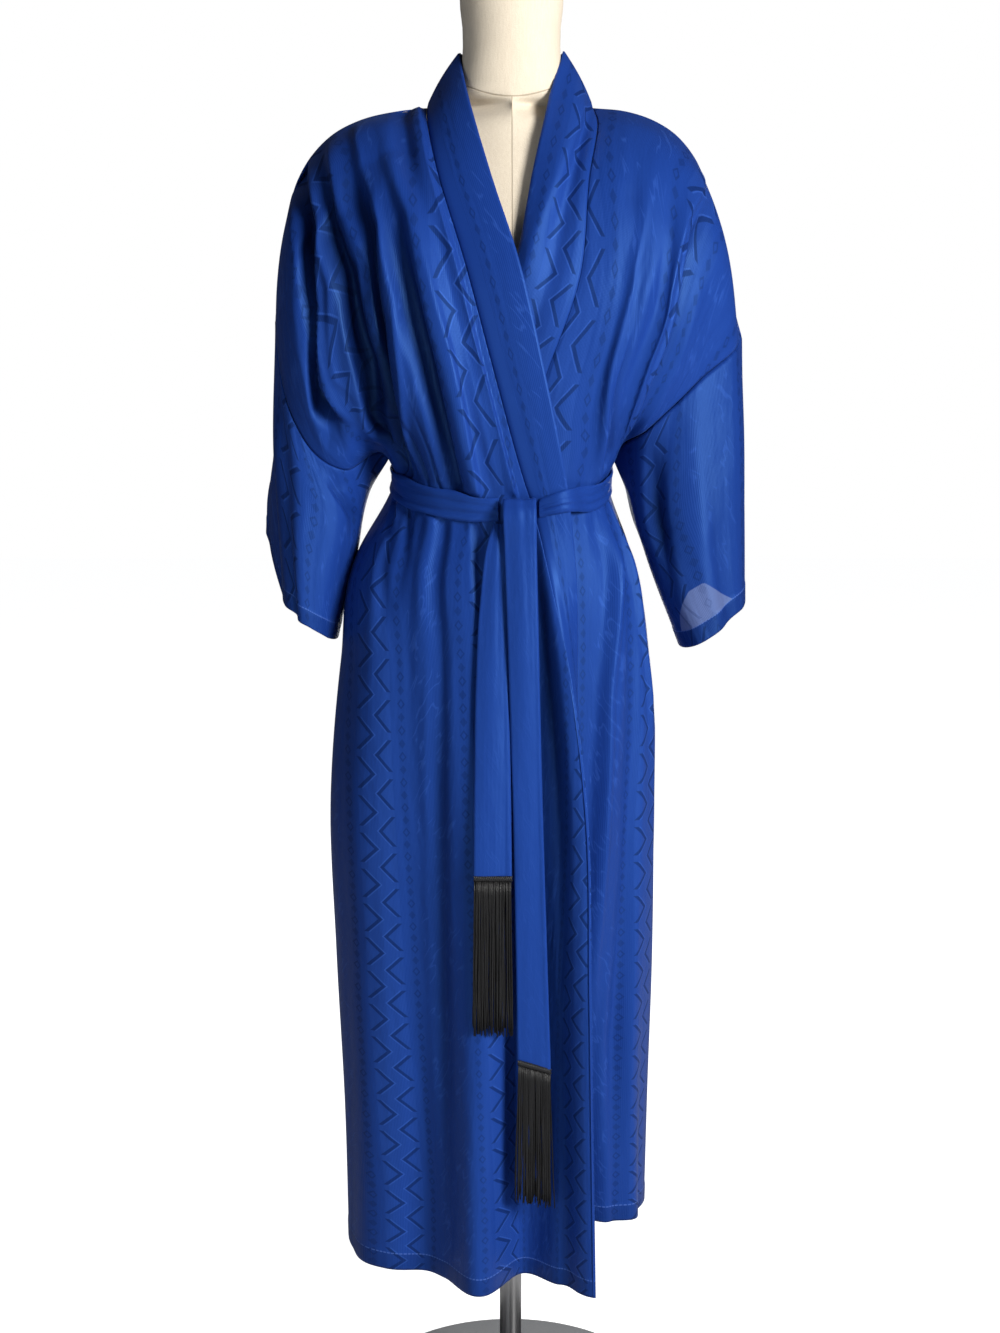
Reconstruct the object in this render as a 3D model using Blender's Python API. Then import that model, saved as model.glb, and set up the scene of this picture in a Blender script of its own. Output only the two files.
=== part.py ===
"""Kimono robe with a tied, fringed sash, worn by a limbless dress form on a pole stand.

Metres, +Z up. The origin is the middle of the stand base's underside, +X is the right-hand side
as the robe is looked at from the front, and +Y points to its back.

Every cloth piece is a thin wall. Its outer side is a grid of points that runs down the piece
(rows) and across it (columns), worked out from the section tables below and moved by the fold
tables. Neighbouring pieces share the points and normals of their seam and stop short of it.
"""

import math
from collections import namedtuple

import bmesh
import bpy
from mathutils import Vector

OBJECT_NAME = "kimono_robe_on_dress_form"

# Cloth, metres
WALL = 0.0014
SEAM_GAP = 0.0004
SHARP_DEGREES = 50

# Grid sizes: rows from each section to the next, and columns across each piece
SECTION_ROWS = (2, 2, 2, 2, 2, 1, 1, 1, 2, 2, 2, 2, 2)
UPPER_ROWS = 10
WAIST_ROW = 11
FRONT_COLUMNS = 18
BACK_HALF_COLUMNS = 14
BACK_NECK_COLUMNS = 3
BAND_COLUMNS = 3
SLEEVE_SECTION_ROWS = (2, 3, 3)
SLEEVE_SQUARE = 2.3
SMOOTH_STEPS = 16

# Shoulder line, seen from the front: how far out from the middle, and how high
SHOULDER_RIGHT = [
    # out, height
    (0.0905, 1.4575), (0.1200, 1.4545), (0.1640, 1.4440), (0.1880, 1.4320), (0.2150, 1.4060),
    (0.2300, 1.3800), (0.2400, 1.3450), (0.2480, 1.2950), (0.2546, 1.2374),
]
SHOULDER_LEFT = [
    # out, height
    (0.0870, 1.4575), (0.1200, 1.4545), (0.1540, 1.4435), (0.1740, 1.4310), (0.1955, 1.4060),
    (0.2080, 1.3780), (0.2170, 1.3450), (0.2310, 1.2800), (0.2488, 1.2194),
]

# Sections of the fronts from the shoulder line down. Each has the point on the collar seam, the
# point on the armhole or side seam, the point on the collar band's free edge, how square the
# section turns (2 is round) and how far its middle is pushed forward.
FrontSection = namedtuple("FrontSection", "name seam outer free square forward")
FRONT_RIGHT = [FrontSection(*row) for row in (
    ("shoulder", (-0.0905, -0.0010, 1.4575), (-0.2546, 0.0000, 1.2374), (-0.0570, 0.0000, 1.5125), 2.6, 0.000),
    ("yoke", (-0.0880, -0.0420, 1.4340), (-0.2500, -0.0300, 1.2050), (-0.0465, -0.0560, 1.4620), 2.5, 0.014),
    ("chest", (-0.0745, -0.0920, 1.3740), (-0.2380, -0.0520, 1.1480), (-0.0220, -0.1060, 1.3760), 2.4, 0.014),
    ("bust", (-0.0480, -0.1240, 1.2880), (-0.2120, -0.0600, 1.0980), (0.0060, -0.1370, 1.2890), 2.3, 0.010),
    ("blouse", (-0.0190, -0.1300, 1.1800), (-0.1760, -0.0560, 1.0760), (0.0310, -0.1400, 1.1830), 2.3, 0.006),
    ("underarm", (0.0140, -0.1215, 1.0620), (-0.1320, -0.0020, 1.0880), (0.0540, -0.1280, 1.0720), 2.3, 0.000),
    ("waist", (0.0220, -0.1180, 1.0380), (-0.1245, 0.0000, 1.0680), (0.0580, -0.1225, 1.0500), 2.3, 0.000),
    ("below sash", (0.0280, -0.1205, 1.0150), (-0.1330, 0.0000, 1.0480), (0.0610, -0.1200, 1.0250), 2.3, 0.000),
    ("high hip", (0.0400, -0.1300, 0.9650), (-0.1700, 0.0000, 0.9820), (0.0672, -0.1170, 0.9700), 2.3, 0.000),
    ("hip", (0.0620, -0.1420, 0.8620), (-0.1870, 0.0000, 0.8700), (0.0690, -0.1150, 0.8620), 2.4, 0.000),
    ("thigh", (0.0790, -0.1500, 0.7200), (-0.2000, 0.0000, 0.7200), (0.0700, -0.1130, 0.7200), 2.4, 0.000),
    ("knee", (0.0835, -0.1520, 0.5400), (-0.1960, 0.0000, 0.5400), (0.0740, -0.1080, 0.5400), 2.3, 0.000),
    ("calf", (0.0870, -0.1500, 0.3600), (-0.1880, 0.0000, 0.3600), (0.0790, -0.1030, 0.3600), 2.5, 0.000),
    ("hem", (0.0900, -0.1480, 0.2060), (-0.1850, 0.0000, 0.2120), (0.0820, -0.0980, 0.2080), 2.7, 0.000),
)]
FRONT_LEFT = [FrontSection(*row) for row in (
    ("shoulder", (0.0870, -0.0010, 1.4575), (0.2488, 0.0000, 1.2194), (0.0560, 0.0000, 1.5150), 2.1, 0.000),
    ("yoke", (0.0900, -0.0420, 1.4340), (0.2380, -0.0280, 1.2020), (0.0450, -0.0560, 1.4660), 2.2, 0.012),
    ("chest", (0.0790, -0.0920, 1.3740), (0.2050, -0.0500, 1.1760), (0.0240, -0.1020, 1.3860), 2.3, 0.010),
    ("bust", (0.0700, -0.1180, 1.2780), (0.1780, -0.0560, 1.1500), (0.0060, -0.1220, 1.3000), 2.3, 0.006),
    ("blouse", (0.0340, -0.1180, 1.1720), (0.1440, -0.0500, 1.1180), (-0.0260, -0.1180, 1.2000), 2.3, 0.004),
    ("underarm", (0.0020, -0.1110, 1.0680), (0.1100, -0.0020, 1.0880), (-0.0500, -0.1040, 1.0800), 2.4, 0.000),
    ("waist", (0.0000, -0.1080, 1.0400), (0.1035, 0.0000, 1.0680), (-0.0520, -0.1020, 1.0500), 2.4, 0.000),
    ("below sash", (-0.0030, -0.1080, 1.0150), (0.1080, 0.0000, 1.0480), (-0.0540, -0.1010, 1.0250), 2.4, 0.000),
    ("high hip", (-0.0080, -0.1090, 0.9700), (0.1310, 0.0000, 0.9820), (-0.0600, -0.1000, 0.9700), 2.6, 0.000),
    ("hip", (-0.0100, -0.1120, 0.8620), (0.1490, 0.0020, 0.8700), (-0.0620, -0.1020, 0.8620), 2.6, 0.000),
    ("thigh", (-0.0080, -0.1120, 0.7200), (0.1580, 0.0060, 0.7200), (-0.0620, -0.1020, 0.7200), 2.4, 0.000),
    ("knee", (-0.0040, -0.1060, 0.5400), (0.1600, 0.0120, 0.5400), (-0.0600, -0.0960, 0.5400), 2.2, 0.000),
    ("calf", (0.0000, -0.0980, 0.3700), (0.1570, 0.0200, 0.3680), (-0.0560, -0.0880, 0.3700), 2.0, 0.000),
    ("hem", (0.0020, -0.0900, 0.2400), (0.1550, 0.0240, 0.2360), (-0.0540, -0.0800, 0.2400), 2.0, 0.000),
)]

# Sections of the back below the shoulder line: the point at the centre back, the point on each
# armhole seam, and how square the section turns. From the underarm down it meets the fronts.
BackSection = namedtuple("BackSection", "name centre_y centre_z outer_y right left square")
BACK = [BackSection(*row) for row in (
    ("yoke", 0.0980, 1.4300, 0.0300, (0.2500, 1.2050), (0.2380, 1.2020), 2.4),
    ("blade", 0.1200, 1.3600, 0.0540, (0.2380, 1.1480), (0.2050, 1.1760), 2.4),
    ("rib", 0.1220, 1.2700, 0.0620, (0.2120, 1.1000), (0.1780, 1.1500), 2.4),
    ("blouse", 0.1180, 1.1700, 0.0560, (0.1760, 1.0800), (0.1440, 1.1180), 2.4),
    ("underarm", 0.1060, 1.0950, 0.0000, None, None, 2.4),
    ("waist", 0.1020, 1.0750, 0.0000, None, None, 2.4),
    ("below sash", 0.1060, 1.0550, 0.0000, None, None, 2.4),
    ("high hip", 0.1220, 0.9900, 0.0000, None, None, 2.4),
    ("hip", 0.1420, 0.8700, 0.0000, None, None, 2.3),
    ("thigh", 0.1500, 0.7200, 0.0000, None, None, 2.2),
    ("knee", 0.1520, 0.5400, 0.0000, None, None, 2.1),
    ("calf", 0.1560, 0.3640, 0.0000, None, None, 2.1),
    ("hem", 0.1600, 0.2240, 0.0000, None, None, 2.1),
)]
BACK_NECK_SEAM = [
    # x, y and z from the centre back to the shoulder line
    (0.0000, 0.0740, 1.4560), (0.0480, 0.0650, 1.4565), (0.0790, 0.0360, 1.4572),
]
BACK_NECK_EDGE = [
    (0.0000, 0.0640, 1.5200), (0.0330, 0.0560, 1.5190), (0.0520, 0.0300, 1.5160), (0.0565, 0.0000, 1.5135),
]

# Folds: each runs down a piece from one row to another, and from one column to another, with its
# half width in columns and its depth at both ends. Depth is outwards, so a valley's is negative.
Fold = namedtuple("Fold", "top_row low_row top_column low_column half top_deep low_deep")
# FOLD_SHARE_BY_ROW holds how much of the folds each row takes, and the rows past its end take all.
# Folds die out within CALM_RADIUS of the underarm, where four pieces meet.
FOLD_FADE_ROWS = 2.0
FOLD_SHARE_BY_ROW = (0.0, 0.2, 0.6, 1.0, 1.0, 1.0, 1.0, 1.0, 1.0, 0.9, 0.5, 0.3, 0.5)
CALM_RADIUS = 0.040
FOLDS_FRONT_RIGHT = [
    Fold(5, 10, 2.2, 4.6, 1.7, 0.008, 0.008),
    Fold(7, 10, 2.0, 1.9, 1.2, 0.003, 0.004),
    Fold(3, 9, 4.0, 12.0, 2.3, -0.006, -0.009),
    Fold(4, 9, 7.5, 15.0, 2.2, -0.005, -0.008),
    Fold(3, 7, 8.5, 15.5, 1.8, -0.004, -0.006),
    Fold(15, 23, 0.0, 0.0, 2.0, 0.004, 0.022),
    Fold(13, 23, 3.2, 3.9, 2.0, -0.004, -0.030),
    Fold(15, 23, 6.0, 6.2, 2.1, 0.000, 0.030),
    Fold(14, 23, 9.4, 9.6, 2.2, -0.004, -0.016),
    Fold(14, 23, 12.6, 13.2, 2.0, 0.003, 0.006),
]
FOLDS_FRONT_LEFT = [
    Fold(6, 10, 6.0, 9.6, 1.9, 0.006, 0.008),
    Fold(4, 9, 8.0, 14.0, 1.8, 0.005, 0.008),
    Fold(4, 9, 10.4, 16.2, 1.8, -0.004, -0.008),
    Fold(13, 19, 11.2, 7.5, 1.7, 0.008, 0.006),
    Fold(13, 20, 13.2, 10.2, 1.7, -0.007, -0.010),
    Fold(13, 16, 15.0, 15.6, 1.3, 0.003, 0.005),
    Fold(18, 23, 7.0, 7.4, 2.4, -0.004, -0.022),
    Fold(18, 23, 12.0, 12.2, 2.2, 0.000, 0.012),
]
FOLDS_BACK = [
    Fold(4, 10, 5.5, 5.5, 1.8, -0.005, -0.009),
    Fold(4, 10, 9.5, 9.5, 1.9, 0.005, 0.008),
    Fold(4, 10, 14.0, 14.0, 2.0, -0.004, -0.008),
    Fold(4, 10, 18.5, 18.5, 1.9, 0.005, 0.008),
    Fold(4, 10, 22.5, 22.5, 1.8, -0.005, -0.008),
    Fold(13, 23, 3.4, 3.4, 1.7, 0.004, 0.012),
    Fold(13, 23, 6.8, 6.8, 1.7, -0.005, -0.016),
    Fold(13, 23, 10.4, 10.4, 1.8, 0.005, 0.017),
    Fold(13, 23, 14.0, 14.0, 1.8, -0.005, -0.018),
    Fold(13, 23, 17.6, 17.6, 1.8, 0.005, 0.017),
    Fold(13, 23, 21.0, 21.0, 1.7, -0.005, -0.014),
    Fold(13, 23, 24.4, 24.4, 1.7, 0.003, 0.009),
]
SLEEVE_FOLD_SHARE = (0.0, 0.6)
FOLDS_SLEEVE_RIGHT = [
    Fold(1, 8, 3.0, 3.4, 1.6, -0.004, -0.006),
    Fold(1, 8, 6.2, 5.8, 1.8, 0.005, 0.005),
    Fold(1, 8, 14.5, 14.5, 1.8, -0.005, -0.006),
]
FOLDS_SLEEVE_LEFT = [
    Fold(1, 8, 3.0, 3.2, 1.7, -0.004, -0.005),
    Fold(1, 8, 6.4, 5.8, 1.7, 0.004, 0.004),
    Fold(1, 8, 14.5, 14.5, 1.8, -0.005, -0.006),
]

# Which way each grid's normals come out, and the rows and columns of each piece that are seams
SIDES = {
    "front_right": 1, "front_left": -1, "back": 1, "sleeve_right": -1, "sleeve_left": 1,
    "collar_right": -1, "collar_left": 1, "tail": -1,
}
SEAM_EDGES = {
    "front_right": ((0,), (0, -1)),
    "front_left": ((0,), (0, -1)),
    "back": ((0,), (0, -1)),
    "sleeve_right": ((0,), ()),
    "sleeve_left": ((0,), ()),
    "collar_right": ((0,), (0,)),
    "collar_left": ((0,), (0,)),
}

# Sleeve rings below the armhole seam, by four points each
SleeveRing = namedtuple("SleeveRing", "name outer front inner back")
SLEEVE_RIGHT = [SleeveRing(*row) for row in (
    ("upper arm", (-0.2550, 0.0060, 1.1500), (-0.2140, -0.0620, 1.0580),
     (-0.1540, 0.0060, 1.0520), (-0.2200, 0.0690, 1.0640)),
    ("elbow", (-0.2545, 0.0080, 1.0580), (-0.2150, -0.0670, 0.9850),
     (-0.1700, 0.0240, 0.9820), (-0.2450, 0.0720, 1.0300)),
    ("cuff", (-0.2490, -0.0100, 0.9360), (-0.2150, -0.0680, 0.9080),
     (-0.1930, 0.0320, 0.8900), (-0.2580, 0.0720, 1.0050)),
)]
SLEEVE_LEFT = [SleeveRing(*row) for row in (
    ("upper arm", (0.2515, 0.0020, 1.1350), (0.1900, -0.0640, 1.0600),
     (0.1260, -0.0010, 1.0500), (0.1900, 0.0680, 1.0700)),
    ("elbow", (0.2545, 0.0000, 1.0350), (0.1960, -0.0680, 0.9800),
     (0.1450, 0.0000, 0.9900), (0.1980, 0.0720, 1.0100)),
    ("cuff", (0.2560, -0.0040, 0.9350), (0.2160, -0.0680, 0.9000),
     (0.1830, -0.0100, 0.8870), (0.2200, 0.0720, 0.9550)),
)]

# Sash: its edges lie this share of the way from the waist row to the rows above and below it
SASH_SHARE = 0.6
SASH_WALL = 0.0020
SASH_LIFT = 0.0013
SASH_STEP_CLEAR = 0.018
SASH_START_COLUMN = 4
SASH_END_COLUMN = 2
KNOT_LEFT_X = -0.0085
KNOT_RIGHT_X = 0.0245
SASH_LEFT_END_X = KNOT_LEFT_X - SEAM_GAP
SASH_RIGHT_END_X = KNOT_RIGHT_X + SEAM_GAP
KNOT_TOP_Z = 1.0455
KNOT_LOW_Z = 1.0240
KNOT_BACK_Y = -0.1195
KNOT_FRONT_Y = -0.1345
KNOT_ROUND = 0.004
TAIL_COLUMNS = 4
TAIL_SECTION_ROWS = 3
# Tails: height, left and right side, and the depth that the cloth's outer side reaches at least
TailRow = namedtuple("TailRow", "height left_x right_x depth_y")
TAIL_SHORT = [TailRow(*row) for row in (
    (1.0240, -0.0190, -0.0090, -0.1225),
    (1.0080, -0.0240, -0.0045, -0.1300),
    (0.9500, -0.0320, -0.0040, -0.1350),
    (0.8600, -0.0370, -0.0030, -0.1400),
    (0.7600, -0.0385, -0.0010, -0.1450),
    (0.6620, -0.0390, 0.0000, -0.1500),
)]
TAIL_LONG = [TailRow(*row) for row in (
    (1.0480, -0.0080, 0.0240, -0.1215),
    (1.0500, -0.0085, 0.0245, -0.1310),
    (1.0430, -0.0088, 0.0248, -0.1375),
    (1.0000, -0.0075, 0.0255, -0.1410),
    (0.9000, -0.0040, 0.0280, -0.1460),
    (0.7600, 0.0005, 0.0315, -0.1500),
    (0.6200, 0.0040, 0.0355, -0.1550),
    (0.4580, 0.0070, 0.0410, -0.1600),
)]
TAIL_CLEAR = 0.0045
TAIL_REACH = 0.040
TAIL_CROWN = 0.0012
TAIL_LONG_SLANT = 0.010
TAIL_WALL = 0.0018

# Fringes: a heading strip with two rows of strands below it
FRINGE_STRANDS = 22
FRINGE_ROWS = 2
FRINGE_THICK = 0.0032
FRINGE_HEADING = 0.0060
FRINGE_GAP = 0.0003
FRINGE_STRAND_INSET = 0.0002
FRINGE_STEPS = 2
FRINGE_SPREAD = 0.10
FRINGE_RAGGED = 0.004
FRINGE_RAGGED_TURN = 2.4
FRINGE_DROP_SHORT = 0.158
FRINGE_DROP_LONG = 0.142

# Dress form: level rings, and how square each is (2 is an ellipse)
FormRing = namedtuple("FormRing", "height half_width front back square")
FORM_SIDES = 28
FORM_RINGS = [FormRing(*row) for row in (
    (0.7600, 0.1200, 0.0840, 0.1000, 2.2),
    (0.7660, 0.1300, 0.0900, 0.1080, 2.2),
    (0.8600, 0.1420, 0.0960, 0.1200, 2.2),
    (0.9500, 0.1260, 0.0930, 0.1120, 2.2),
    (1.0500, 0.0960, 0.0820, 0.0860, 2.2),
    (1.1500, 0.1080, 0.0920, 0.0900, 2.2),
    (1.2600, 0.1260, 0.1040, 0.0980, 2.2),
    (1.3400, 0.1380, 0.0940, 0.0980, 2.2),
    (1.3900, 0.1560, 0.0760, 0.0860, 2.0),
    (1.4200, 0.1640, 0.0620, 0.0720, 1.5),
    (1.4400, 0.1480, 0.0550, 0.0600, 1.1),
    (1.4490, 0.1290, 0.0510, 0.0540, 0.85),
    (1.4530, 0.1150, 0.0500, 0.0520, 0.8),
    (1.4555, 0.0880, 0.0490, 0.0515, 0.85),
    (1.4620, 0.0680, 0.0490, 0.0510, 1.5),
    (1.4800, 0.0570, 0.0500, 0.0510, 2.0),
    (1.5200, 0.0515, 0.0490, 0.0490, 2.0),
    (1.5940, 0.0510, 0.0490, 0.0490, 2.0),
    (1.6000, 0.0480, 0.0460, 0.0460, 2.0),
)]
POLE_RADIUS = 0.0125
POLE_SIDES = 16
BASE_RADIUS = 0.170
BASE_THICK = 0.014
BASE_EDGE = 0.008
BASE_SIDES = 40
FLANGE_RADIUS = 0.030
FLANGE_HEIGHT = 0.022
FLANGE_TAPER = 0.006
TOUCH_GAP = 0.0003

# Materials: colour, roughness, metallic
CLOTH_BLUE = (0.012, 0.050, 0.360)
FRINGE_BLACK = (0.010, 0.010, 0.011)
LINEN = (0.720, 0.640, 0.510)
POLE_STEEL = (0.560, 0.560, 0.570)
BASE_PAINT = (0.030, 0.030, 0.032)


def clear_scene():
    """Remove every object, so that the file holds only this model."""
    for thing in list(bpy.data.objects):
        bpy.data.objects.remove(thing, do_unlink=True)


def new_material(name, colour, roughness, metallic=0.0):
    """A Principled material with one colour."""
    material = bpy.data.materials.new(name)
    material.use_nodes = True
    shader = material.node_tree.nodes["Principled BSDF"]
    shader.inputs["Base Color"].default_value = (*colour, 1.0)
    shader.inputs["Roughness"].default_value = roughness
    shader.inputs["Metallic"].default_value = metallic
    return material


def distances(points):
    """Distance along a row of points, from the first to each."""
    lengths = [0.0]
    for one, two in zip(points, points[1:]):
        lengths.append(lengths[-1] + (two - one).length)
    return lengths


def slope_at(points, knots, i):
    """Slope of the smooth curve through the points at point i, per unit of distance."""
    if i == 0:
        return (points[1] - points[0]) / (knots[1] - knots[0])
    if i == len(points) - 1:
        return (points[i] - points[i - 1]) / (knots[i] - knots[i - 1])
    before, after = knots[i] - knots[i - 1], knots[i + 1] - knots[i]
    slope_before = (points[i] - points[i - 1]) / before
    slope_after = (points[i + 1] - points[i]) / after
    return (slope_before * after + slope_after * before) / (before + after)


def smooth_between(points, knots, i, share):
    """Point between points i and i + 1 on the smooth curve through all of them."""
    span = knots[i + 1] - knots[i]
    low, high = points[i], points[i + 1]
    rise_low, rise_high = slope_at(points, knots, i) * span, slope_at(points, knots, i + 1) * span
    t = share
    return (
        low * (2 * t**3 - 3 * t**2 + 1) + rise_low * (t**3 - 2 * t**2 + t)
        + high * (3 * t**2 - 2 * t**3) + rise_high * (t**3 - t**2)
    )


def even_points(points, count):
    """count + 1 points at equal distances along the smooth curve through the given ones."""
    fine = SMOOTH_STEPS
    knots = distances(points)
    dense = [smooth_between(points, knots, i, k / fine) for i in range(len(points) - 1) for k in range(fine)]
    dense.append(points[-1])
    lengths = distances(dense)
    result = []
    k = 0
    for step in range(count + 1):
        wanted = lengths[-1] * step / count
        while k < len(dense) - 2 and lengths[k + 1] < wanted:
            k += 1
        share = (wanted - lengths[k]) / max(lengths[k + 1] - lengths[k], 1e-9)
        result.append(dense[k].lerp(dense[k + 1], min(max(share, 0.0), 1.0)))
    return result


def quarter_turn(start, end, square, forward, count):
    """Section from start, which faces along Y, round a corner to end, which faces along X."""
    samples = SMOOTH_STEPS
    points = []
    for k in range(samples + 1):
        angle = math.pi / 2 * k / samples
        out = math.sin(angle) ** (2 / square)
        back = 1 - math.cos(angle) ** (2 / square)
        point = Vector((
            start.x + (end.x - start.x) * out,
            start.y + (end.y - start.y) * back,
            start.z + (end.z - start.z) * back,
        ))
        point.y -= forward * math.sin(math.pi * k / samples)
        points.append(point)
    return even_points(points, count)


def rows_through(sections, section_rows):
    """Rows on the smooth surface through the sections, with so many from each to the next."""
    knots = distances([section[len(section) // 2] for section in sections])
    rows = []
    for i, steps in enumerate(section_rows):
        for step in range(steps):
            rows.append([smooth_between(column, knots, i, step / steps) for column in zip(*sections)])
    rows.append([point.copy() for point in sections[-1]])
    return rows


def grid_normals(grid, side, closed=False):
    """Unit normal at each point. side is 1 or -1, whichever makes them point out of the robe."""
    rows, columns = len(grid), len(grid[0])
    normals = []
    for r in range(rows):
        line = []
        for c in range(columns):
            left, right = max(c - 1, 0), min(c + 1, columns - 1)
            if closed and c in (0, columns - 1):
                left, right = columns - 2, 1
            across = grid[r][right] - grid[r][left]
            down = grid[min(r + 1, rows - 1)][c] - grid[max(r - 1, 0)][c]
            line.append((across.cross(down) * side).normalized())
        normals.append(line)
    return normals


def fold_depth(folds, row, column):
    """Sum of the folds' depths at one point of a grid."""
    total = 0.0
    for fold in folds:
        share = (row - fold.top_row) / (fold.low_row - fold.top_row)
        outside = max(fold.top_row - row, row - fold.low_row, 0)
        fade = max(0.0, 1 - outside / FOLD_FADE_ROWS)
        share = min(max(share, 0.0), 1.0)
        centre = fold.top_column + (fold.low_column - fold.top_column) * share
        away = abs(column - centre) / fold.half
        if away < 1:
            deep = fold.top_deep + (fold.low_deep - fold.top_deep) * share
            total += fade * deep * 0.5 * (1 + math.cos(math.pi * away))
    return total


def fold_grid(grid, normals, folds, shares, calm):
    """Move each point along its normal by the folds there, less near the calm points.

    shares holds how much of the folds each row takes; rows past its end take all.
    """
    for r, (line, facing) in enumerate(zip(grid, normals)):
        share = shares[r] if r < len(shares) else 1.0
        for c, point in enumerate(line):
            near = min((point - place).length for place in calm)
            line[c] = point + facing[c] * fold_depth(folds, r, c) * share * min(1.0, near / CALM_RADIUS)


def pull_back(grid, rows=(), columns=(), distance=SEAM_GAP / 2):
    """Move whole edge rows or columns of a grid inwards along the cloth, to leave a seam's gap."""
    for r in rows:
        inner = 1 if r == 0 else len(grid) - 2
        edge = r if r == 0 else len(grid) - 1
        for c in range(len(grid[0])):
            step = grid[inner][c] - grid[edge][c]
            grid[edge][c] = grid[edge][c] + step.normalized() * distance
    for c in columns:
        inner = 1 if c == 0 else len(grid[0]) - 2
        edge = c if c == 0 else len(grid[0]) - 1
        for line in grid:
            step = line[inner] - line[edge]
            line[edge] = line[edge] + step.normalized() * distance


def moved(grid, normals, distance):
    """The grid moved along its normals."""
    return [
        [point + normal * distance for point, normal in zip(line, facing)]
        for line, facing in zip(grid, normals)
    ]


def wall_object(name, outer, inner, material, collection, closed=False):
    """Closed wall between two grids of points, made from a flat grid and its extrusion."""
    rows, columns = len(outer) - 1, len(outer[0]) - 1
    mesh = bmesh.new()
    row_of = mesh.verts.layers.int.new("row")
    column_of = mesh.verts.layers.int.new("column")
    bmesh.ops.create_grid(mesh, x_segments=columns, y_segments=rows, size=1.0)
    for vert in mesh.verts:
        vert[column_of] = round((vert.co.x + 1) / 2 * columns)
        vert[row_of] = round((vert.co.y + 1) / 2 * rows)
        vert.co = outer[vert[row_of]][vert[column_of]]
    if closed:
        bmesh.ops.remove_doubles(mesh, verts=mesh.verts[:], dist=1e-5)
    made = bmesh.ops.extrude_face_region(mesh, geom=mesh.faces[:], use_keep_orig=True)
    for vert in made["geom"]:
        if isinstance(vert, bmesh.types.BMVert):
            vert.co = inner[vert[row_of]][vert[column_of]]
    bmesh.ops.recalc_face_normals(mesh, faces=mesh.faces[:])
    return finish_object(name, mesh, material, collection)


def finish_object(name, mesh, material, collection):
    """Turn a bmesh into a named, smooth-shaded object in the collection."""
    data = bpy.data.meshes.new(name)
    mesh.to_mesh(data)
    mesh.free()
    data.materials.append(material)
    data.shade_smooth()
    data.set_sharp_from_angle(angle=math.radians(SHARP_DEGREES))
    result = bpy.data.objects.new(name, data)
    collection.objects.link(result)
    return result


def shoulder_points(line, sign):
    """The shoulder line's points in space, for the side with that sign of X."""
    return [Vector((sign * out, 0.0, height)) for out, height in line]


def underarm_point(table):
    """Where a front's armhole seam meets its side seam."""
    return next(Vector(row.outer) for row in table if row.name == "underarm")


def front_grid(name, table, line, sign, folds):
    """Points of one front, with column 0 on the collar seam."""
    first = [Vector(table[0].seam)] + shoulder_points(line, sign)[1:]
    sections = [even_points(first, FRONT_COLUMNS)]
    for row in table[1:]:
        start, end = Vector(row.seam), Vector(row.outer)
        sections.append(quarter_turn(start, end, row.square, row.forward, FRONT_COLUMNS))
    grid = rows_through(sections, SECTION_ROWS)
    fold_grid(grid, grid_normals(grid, SIDES[name]), folds, FOLD_SHARE_BY_ROW, [underarm_point(table)])
    return grid


def back_grid():
    """Points of the back, from the robe's right side seam to its left one."""
    halves = []
    for sign, line, table in ((-1, SHOULDER_RIGHT, FRONT_RIGHT), (1, SHOULDER_LEFT, FRONT_LEFT)):
        shoulder = shoulder_points(line, sign)
        neck = [Vector((sign * x, y, z)) for x, y, z in BACK_NECK_SEAM] + shoulder[:1]
        first = even_points(neck, BACK_NECK_COLUMNS)[:-1]
        first += even_points(shoulder, BACK_HALF_COLUMNS - BACK_NECK_COLUMNS)
        sections = [first]
        outers = {row.name: row.outer for row in table}
        for row in BACK:
            armhole = row.right if sign < 0 else row.left
            outer = (sign * armhole[0], row.outer_y, armhole[1]) if armhole else outers[row.name]
            centre = Vector((0.0, row.centre_y, row.centre_z))
            sections.append(quarter_turn(centre, Vector(outer), row.square, 0.0, BACK_HALF_COLUMNS))
        halves.append(rows_through(sections, SECTION_ROWS))
    right, left = halves
    grid = [one[::-1] + two[1:] for one, two in zip(right, left)]
    calm = [underarm_point(FRONT_RIGHT), underarm_point(FRONT_LEFT)]
    fold_grid(grid, grid_normals(grid, SIDES["back"]), FOLDS_BACK, FOLD_SHARE_BY_ROW, calm)
    return grid


def meet(one, two, column_one, column_two, first):
    """Give two pieces the same side seam, half way between their edges, from row first down."""
    for r in range(first, len(one)):
        middle = (one[r][column_one] + two[r][column_two]) / 2
        one[r][column_one] = middle
        two[r][column_two] = middle.copy()


def share_normals(one, two):
    """Give seam points one normal. Each entry is a (normals, row, column) of one piece."""
    for (first, row_a, column_a), (second, row_b, column_b) in zip(one, two):
        both = (first[row_a][column_a] + second[row_b][column_b]).normalized()
        first[row_a][column_a] = both
        second[row_b][column_b] = both.copy()


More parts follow.
